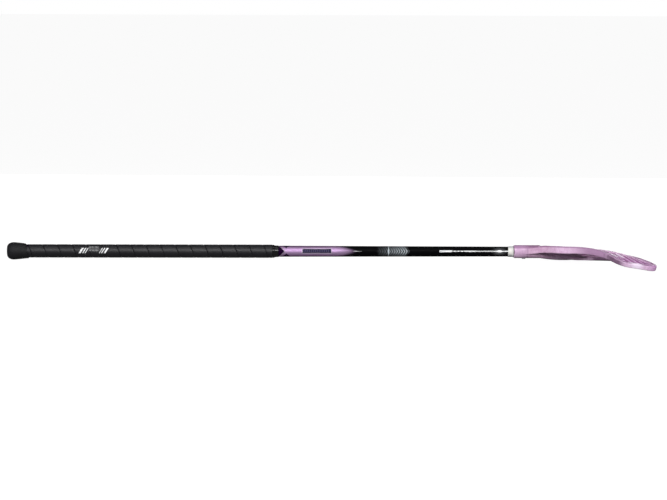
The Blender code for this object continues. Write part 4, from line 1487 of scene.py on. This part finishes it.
def fill_socket(made):
    """The round socket as a solid."""
    end = MOUTH + SOCKET_LENGTH + SOCKET_FLOOR
    rows = (
        (MOUTH, SOCKET_RADIUS),
        (end - SOCKET_END_CHAMFER, SOCKET_RADIUS),
        (end, SOCKET_RADIUS - SOCKET_END_CHAMFER),
    )
    swept(made, [[around(x, radius, turn) for turn in RING_TURNS] for x, radius in rows])


def fill_sole_box(made):
    """A box below the sole that cuts a true flat along it."""
    length, depth = 4 * BLADE_LENGTH, 4 * RIM_WIDTH
    heel = surface(0, SOLE_FLAT)
    along = surface(1, 0) - surface(0, 0)
    along.z = 0
    upward = Vector((-math.sin(LIE_ANGLE), -math.cos(LIE_ANGLE), 0))
    turn = Matrix((along.normalized(), upward.cross(along.normalized()), upward)).transposed()
    heel.z = 0
    size = Matrix.Diagonal((length, length, depth, 1))
    place = Matrix.Translation(heel) @ turn.to_4x4() @ Matrix.Translation((0, 0, -depth / 2))
    bmesh.ops.create_cube(made, size=1, matrix=place @ size)


def fill_mouth(made):
    """What is cut off the socket's mouth: a cap whose face is set back fore and aft."""
    start = MOUTH - SOCKET_CUT_RADIUS
    rings = [[around(x, SOCKET_CUT_RADIUS, turn) for turn in RING_TURNS] for x in (start, MOUTH)]
    rings.append([around(MOUTH, SOCKET_FACE_RADIUS, turn) for turn in RING_TURNS])
    for ring in rings[1:]:
        for point, turn in zip(ring, RING_TURNS):
            point.x += SOCKET_MOUTH_SETBACK * math.sin(turn) ** 2
    swept(made, rings)


def build_blade():
    """Moulds the blade from its bars, softens their joints, then bores and trims it."""
    path = rim_path()

    def fill(made):
        fill_socket(made)
        fill_spine(made)
        swept(made, bar_sections(path, RIM_WIDTH, rim_depth, RIM_ROUND, steps=4))
        fill_web(made, path)
        fill_ribs(made, path)

    body = helper("blade_body", fill)
    remesh = body.modifiers.new("remesh", "REMESH")
    remesh.mode = "VOXEL"
    remesh.voxel_size = looks().blade_size.voxel
    soften = body.modifiers.new("soften", "SMOOTH")
    soften.factor = 0.5
    soften.iterations = looks().blade_size.soften
    body.data = shaped(body)
    body.modifiers.clear()
    bore = sleeve_bore() + SLEEVE_WALL + SEAT_GAP
    mesh = cut(
        "blade",
        body,
        helper("cut_mouth", fill_mouth),
        helper("cut_bore", lambda made: lying_drum(made, MOUTH - 10 * MM, MOUTH + SOCKET_LENGTH, bore)),
        screw_drum("cut_hole", SCREW_DIAMETER, -SOCKET_DIAMETER, -bore / 2),
        screw_drum("cut_seat", SCREW_HEAD_DIAMETER, -SOCKET_DIAMETER, SCREW_SEAT_DEPTH - SOCKET_RADIUS),
        helper("cut_sole", fill_sole_box),
    )
    keep_places(mesh, "blade_mm", [on_blade(vert.co) for vert in mesh.vertices])
    stand_for(placed("blade", mesh, blade_finish(), angle=50), "blade")


def dress(node, finish):
    """Gives a CAD node that stays in view its finish."""
    thing = frame["nodes"][node]
    thing.data.materials.clear()
    thing.data.materials.append(finish)


# Stage


def background_seen(g):
    """How strongly a ray sees the background's white: full for the camera, less in gloss."""
    rays = g.node("ShaderNodeLightPath").outputs
    shared = g.most(rays["Is Glossy Ray"], rays["Is Transmission Ray"])
    return g.most(rays["Is Camera Ray"], g.times(shared, looks().gloss_share))


def floor_finish():
    """A plain pale surface that reads as white to the camera and keeps a soft shadow."""
    finish, g, shader, colours = new_finish("floor_white")
    shader.inputs["Base Color"].default_value = (*colours.floor, 1)
    shader.inputs["Roughness"].default_value = 0.9
    shader.inputs["Specular IOR Level"].default_value = 0.0
    shader.inputs["Emission Color"].default_value = (1, 1, 1, 1)
    g.feed(shader.inputs["Emission Strength"], g.times(background_seen(g), colours.floor_glow))
    return finish


def build_floor():
    """The floor, just below the stick."""
    place = Matrix.Translation((0, 0, -FLOOR_DROP))
    size = {"x_segments": 2, "y_segments": 2, "size": FLOOR_HALF}
    mesh = mesh_of("floor", lambda made: bmesh.ops.create_grid(made, matrix=place, **size))
    mesh.materials.append(floor_finish())
    shown("floor", mesh)


def build_world():
    """White surroundings, which light the stick only weakly."""
    world = bpy.data.worlds.new("studio")
    world.use_nodes = True
    bpy.context.scene.world = world
    g = Graph(world.node_tree)
    sky = world.node_tree.nodes["Background"]
    sky.inputs["Color"].default_value = (1, 1, 1, 1)
    g.feed(sky.inputs["Strength"], g.most(background_seen(g), looks().fill))


def hang(lamp, offset, goal, glossy=True):
    """Puts a lamp at an offset from goal, turned to it. Without glossy it leaves no glare."""
    thing = shown(lamp.name, lamp)
    thing.visible_glossy = glossy
    place = TO_WORLD.to_3x3() @ Vector(offset) + goal
    aim = (place - goal).to_track_quat("Z", "Y")
    thing.matrix_world = Matrix.Translation(place) @ aim.to_matrix().to_4x4()


def build_lamps():
    """The broad lamps round the stick and the narrow one on the toe."""
    centre = TO_WORLD @ Vector((CAMERA_ALONG, 0, 0))
    for name, (offset, size, glossy) in LAMPS.items():
        lamp = bpy.data.lights.new(name, "AREA")
        lamp.shape = "RECTANGLE"
        lamp.size, lamp.size_y = size
        lamp.energy = getattr(looks(), name)
        hang(lamp, offset, centre, glossy)
    lamp = bpy.data.lights.new("toe", "SPOT")
    lamp.energy = looks().toe
    lamp.spot_size, lamp.spot_blend = TOE_LAMP_ANGLE, 1.0
    lamp.shadow_soft_size = TOE_LAMP_SIZE
    hang(lamp, TOE_LAMP_OFFSET, TO_WORLD @ surface(*TOE_LAMP_GOAL))


def build_camera():
    """The camera, and plain display of its colours."""
    camera = bpy.data.cameras.new("camera")
    camera.sensor_width = SENSOR_WIDTH
    camera.lens = SENSOR_WIDTH * CAMERA_AWAY / (PICTURE_WIDTH * SPAN_PER_PIXEL)
    camera.clip_start, camera.clip_end = 0.1, 100
    thing = shown("camera", camera)
    place = Matrix.Translation((CAMERA_ALONG, -CAMERA_AWAY, CAMERA_RISE))
    place = place @ Matrix.Rotation(math.pi / 2, 4, "X") @ Matrix.Rotation(CAMERA_ROLL, 4, "Z")
    thing.matrix_world = TO_WORLD @ place
    bpy.context.scene.camera = thing
    bpy.context.scene.view_settings.view_transform = "Standard"


# Settings


def colour_setting(name, description, colour):
    """A colour to be set."""
    return bpy.props.FloatVectorProperty(
        name=name, description=description, default=colour, subtype="COLOR", size=3, min=0, max=1
    )


def length_setting(name, description, length):
    """A length to be set."""
    return bpy.props.FloatProperty(name=name, description=description, default=length, unit="LENGTH")


def power_setting(name, description, power):
    """A lamp's power to be set."""
    return bpy.props.FloatProperty(name=name, description=description, default=power, unit="POWER")


def share_setting(name, description, share):
    """A share to be set."""
    return bpy.props.FloatProperty(
        name=name, description=description, default=share, subtype="FACTOR", min=0, max=1
    )


class StickGripSizes(bpy.types.PropertyGroup):
    """Sizes of the wound grip tape."""

    pitch: length_setting("Pitch", "Advance of the tape in one turn", 26.7 * MM)
    seam: length_setting("Seam", "Gap between two turns", 0.3 * MM)
    wander: length_setting("Wander", "How far the tape's edges stray", 0.5 * MM)
    steps: bpy.props.IntProperty(name="Steps", description="Faces of the tape in one turn", default=64)


class StickBladeSizes(bpy.types.PropertyGroup):
    """Fineness of the moulded blade."""

    voxel: length_setting("Voxel", "Edge of the voxels that merge the bars", 1.0 * MM)
    soften: bpy.props.IntProperty(
        name="Soften", description="Rounds of smoothing over the joints", default=4
    )


class StickLooks(bpy.types.PropertyGroup):
    """Colours, lamps and sizes of the stick's looks."""

    grip: bpy.props.PointerProperty(type=StickGripSizes)
    blade_size: bpy.props.PointerProperty(type=StickBladeSizes)
    lacquer: colour_setting("Lacquer", "Metallic band of the shaft", (0.62, 0.42, 0.68))
    lacquer_deep: colour_setting("Deep lacquer", "Slow mottle of the band", (0.52, 0.33, 0.58))
    # Colour of the painted shade that darkens the band towards its top and bottom edges.
    lacquer_painted_shade: colour_setting("Lacquer shade", "Band towards its edges", (0.2, 0.1, 0.22))
    black: colour_setting("Black", "Black of the shaft and of the vinyl", (0.0025, 0.0025, 0.003))
    arrow: colour_setting("Arrow", "Arrow and wedges by the grip", (0.01, 0.001, 0.018))
    outline: colour_setting("Outline", "Line round the arrow", (0.42, 0.36, 0.42))
    bar: colour_setting("Bar", "Plain bar on the band", (0.022, 0.017, 0.045))
    hatch: colour_setting("Hatch", "Hatching of the bar", (0.09, 0.08, 0.15))
    # White of the prints, also used for the painted highlight streak past the band.
    white_print_and_highlight: colour_setting("White print", "Badge, lines and motif", (0.86, 0.87, 0.88))
    # Grey of the worn prints, also used for the painted glow round the bead and the painted shade on the
    # sleeve.
    grey_print_and_painted_light: colour_setting("Grey print", "Worn parts of the prints", (0.4, 0.41, 0.43))
    print_cool: colour_setting("Cool print", "Arrowheads on the black", (0.78, 0.88, 0.95))
    tape: colour_setting("Tape", "Grip tape", (0.004, 0.004, 0.005))
    tape_light: colour_setting("Light tape", "Mottle and ridges of the tape", (0.0095, 0.009, 0.0125))
    rubber: colour_setting("Rubber", "Knob at the butt", (0.007, 0.007, 0.008))
    sleeve: colour_setting("Sleeve", "Fitting sleeve", (0.8, 0.79, 0.74))
    blade: colour_setting("Blade", "Main tone of the blade", (0.66, 0.42, 0.63))
    blade_pale: colour_setting("Pale blade", "Pale flow of the marbling", (0.8, 0.57, 0.78))
    # Deep veins of the marbling, also the colour of the painted shade on the blade.
    blade_veins_and_shade: colour_setting("Deep blade", "Deep veins of the marbling", (0.36, 0.2, 0.35))
    blade_tip: colour_setting("Blade tip", "Orchid tone at the toe's low corner", (0.56, 0.28, 0.56))
    # Colour of the painted highlight on the toe's front and the streak beside it.
    blade_painted_highlight: colour_setting("Gleam", "Palest tone, on the toe's front", (0.95, 0.8, 0.98))
    # Colour of the painted shade on the toe's top corner and on the sole's underside.
    blade_painted_shade: colour_setting("Toe corner", "Dimmer tone of the toe's top corner", (0.22, 0.18, 0.215))
    blade_near: colour_setting("Socket tone", "Dimmer tone of the blade at its socket", (0.7, 0.64, 0.66))
    # Colour of the painted shade on the walls of the slots.
    blade_wall_shade: colour_setting("Slot walls", "Walls of the blade's slots", (0.42, 0.12, 0.34))
    zinc: colour_setting("Zinc", "Plating of the screw", (0.62, 0.62, 0.66))
    floor: colour_setting("Floor", "The pale floor under the stick", (0.2, 0.2, 0.2))
    floor_glow: share_setting("Floor glow", "Share of the background's white in the floor", 0.94)
    key: power_setting("Key", "Power of the front lamp", 64)
    top: power_setting("Top", "Power of the upper lamp", 8)
    side: power_setting("Side", "Power of the lamp past the butt", 60)
    back: power_setting("Back", "Power of the lamp behind", 40)
    toe: power_setting("Toe", "Power of the spot on the toe", 165)
    gloss_share: share_setting("Gloss share", "Strength of the background in reflections", 0.025)
    fill: share_setting("Fill", "Strength of the even light", 0.08)


# Operators and panel


class STICK_OT_shaft(bpy.types.Operator):
    """Make the lacquered shaft"""

    bl_idname = "stick.shaft"
    bl_label = "Shaft"

    def execute(self, context):
        build_shaft()
        return {"FINISHED"}


class STICK_OT_grip(bpy.types.Operator):
    """Wind the grip tape and bind its end"""

    bl_idname = "stick.grip"
    bl_label = "Grip and Binding"

    def execute(self, context):
        build_grip()
        build_binding()
        return {"FINISHED"}


class STICK_OT_butt(bpy.types.Operator):
    """Make the rubber knob and finish the plug inside it"""

    bl_idname = "stick.butt"
    bl_label = "Knob and Plug"

    def execute(self, context):
        build_knob()
        dress("end_plug", plug_finish())
        return {"FINISHED"}


class STICK_OT_blade(bpy.types.Operator):
    """Make the blade"""

    bl_idname = "stick.blade"
    bl_label = "Blade"

    def execute(self, context):
        build_blade()
        return {"FINISHED"}


class STICK_OT_fitting(bpy.types.Operator):
    """Make the sleeve and finish the screw that hold the blade"""

    bl_idname = "stick.fitting"
    bl_label = "Sleeve and Screw"

    def execute(self, context):
        build_sleeve()
        dress("blade_screw", zinc_finish())
        return {"FINISHED"}


class STICK_OT_stage(bpy.types.Operator):
    """Set the floor, lamps and camera"""

    bl_idname = "stick.stage"
    bl_label = "Stage"

    def execute(self, context):
        build_floor()
        build_world()
        build_lamps()
        build_camera()
        return {"FINISHED"}


OPERATORS = (
    STICK_OT_shaft,
    STICK_OT_grip,
    STICK_OT_butt,
    STICK_OT_fitting,
    STICK_OT_blade,
    STICK_OT_stage,
)


class STICK_PT_pieces(bpy.types.Panel):
    """Lists the pieces of the stick"""

    bl_idname = "STICK_PT_pieces"
    bl_label = "Floorball Stick"
    bl_space_type = "VIEW_3D"
    bl_region_type = "UI"
    bl_category = "Stick"

    def draw(self, context):
        for operator in OPERATORS:
            self.layout.operator(operator.bl_idname)


CLASSES = (StickGripSizes, StickBladeSizes, StickLooks, *OPERATORS, STICK_PT_pieces)


def register():
    for made in CLASSES:
        bpy.utils.register_class(made)
    bpy.types.Scene.stick_looks = bpy.props.PointerProperty(type=StickLooks)


def unregister():
    del bpy.types.Scene.stick_looks
    for made in reversed(CLASSES):
        bpy.utils.unregister_class(made)


def main():
    register()
    bpy.ops.stick.shaft()
    bpy.ops.stick.grip()
    bpy.ops.stick.butt()
    bpy.ops.stick.fitting()
    bpy.ops.stick.blade()
    bpy.ops.stick.stage()
    bpy.context.view_layer.update()


if __name__ == "__main__":
    main()
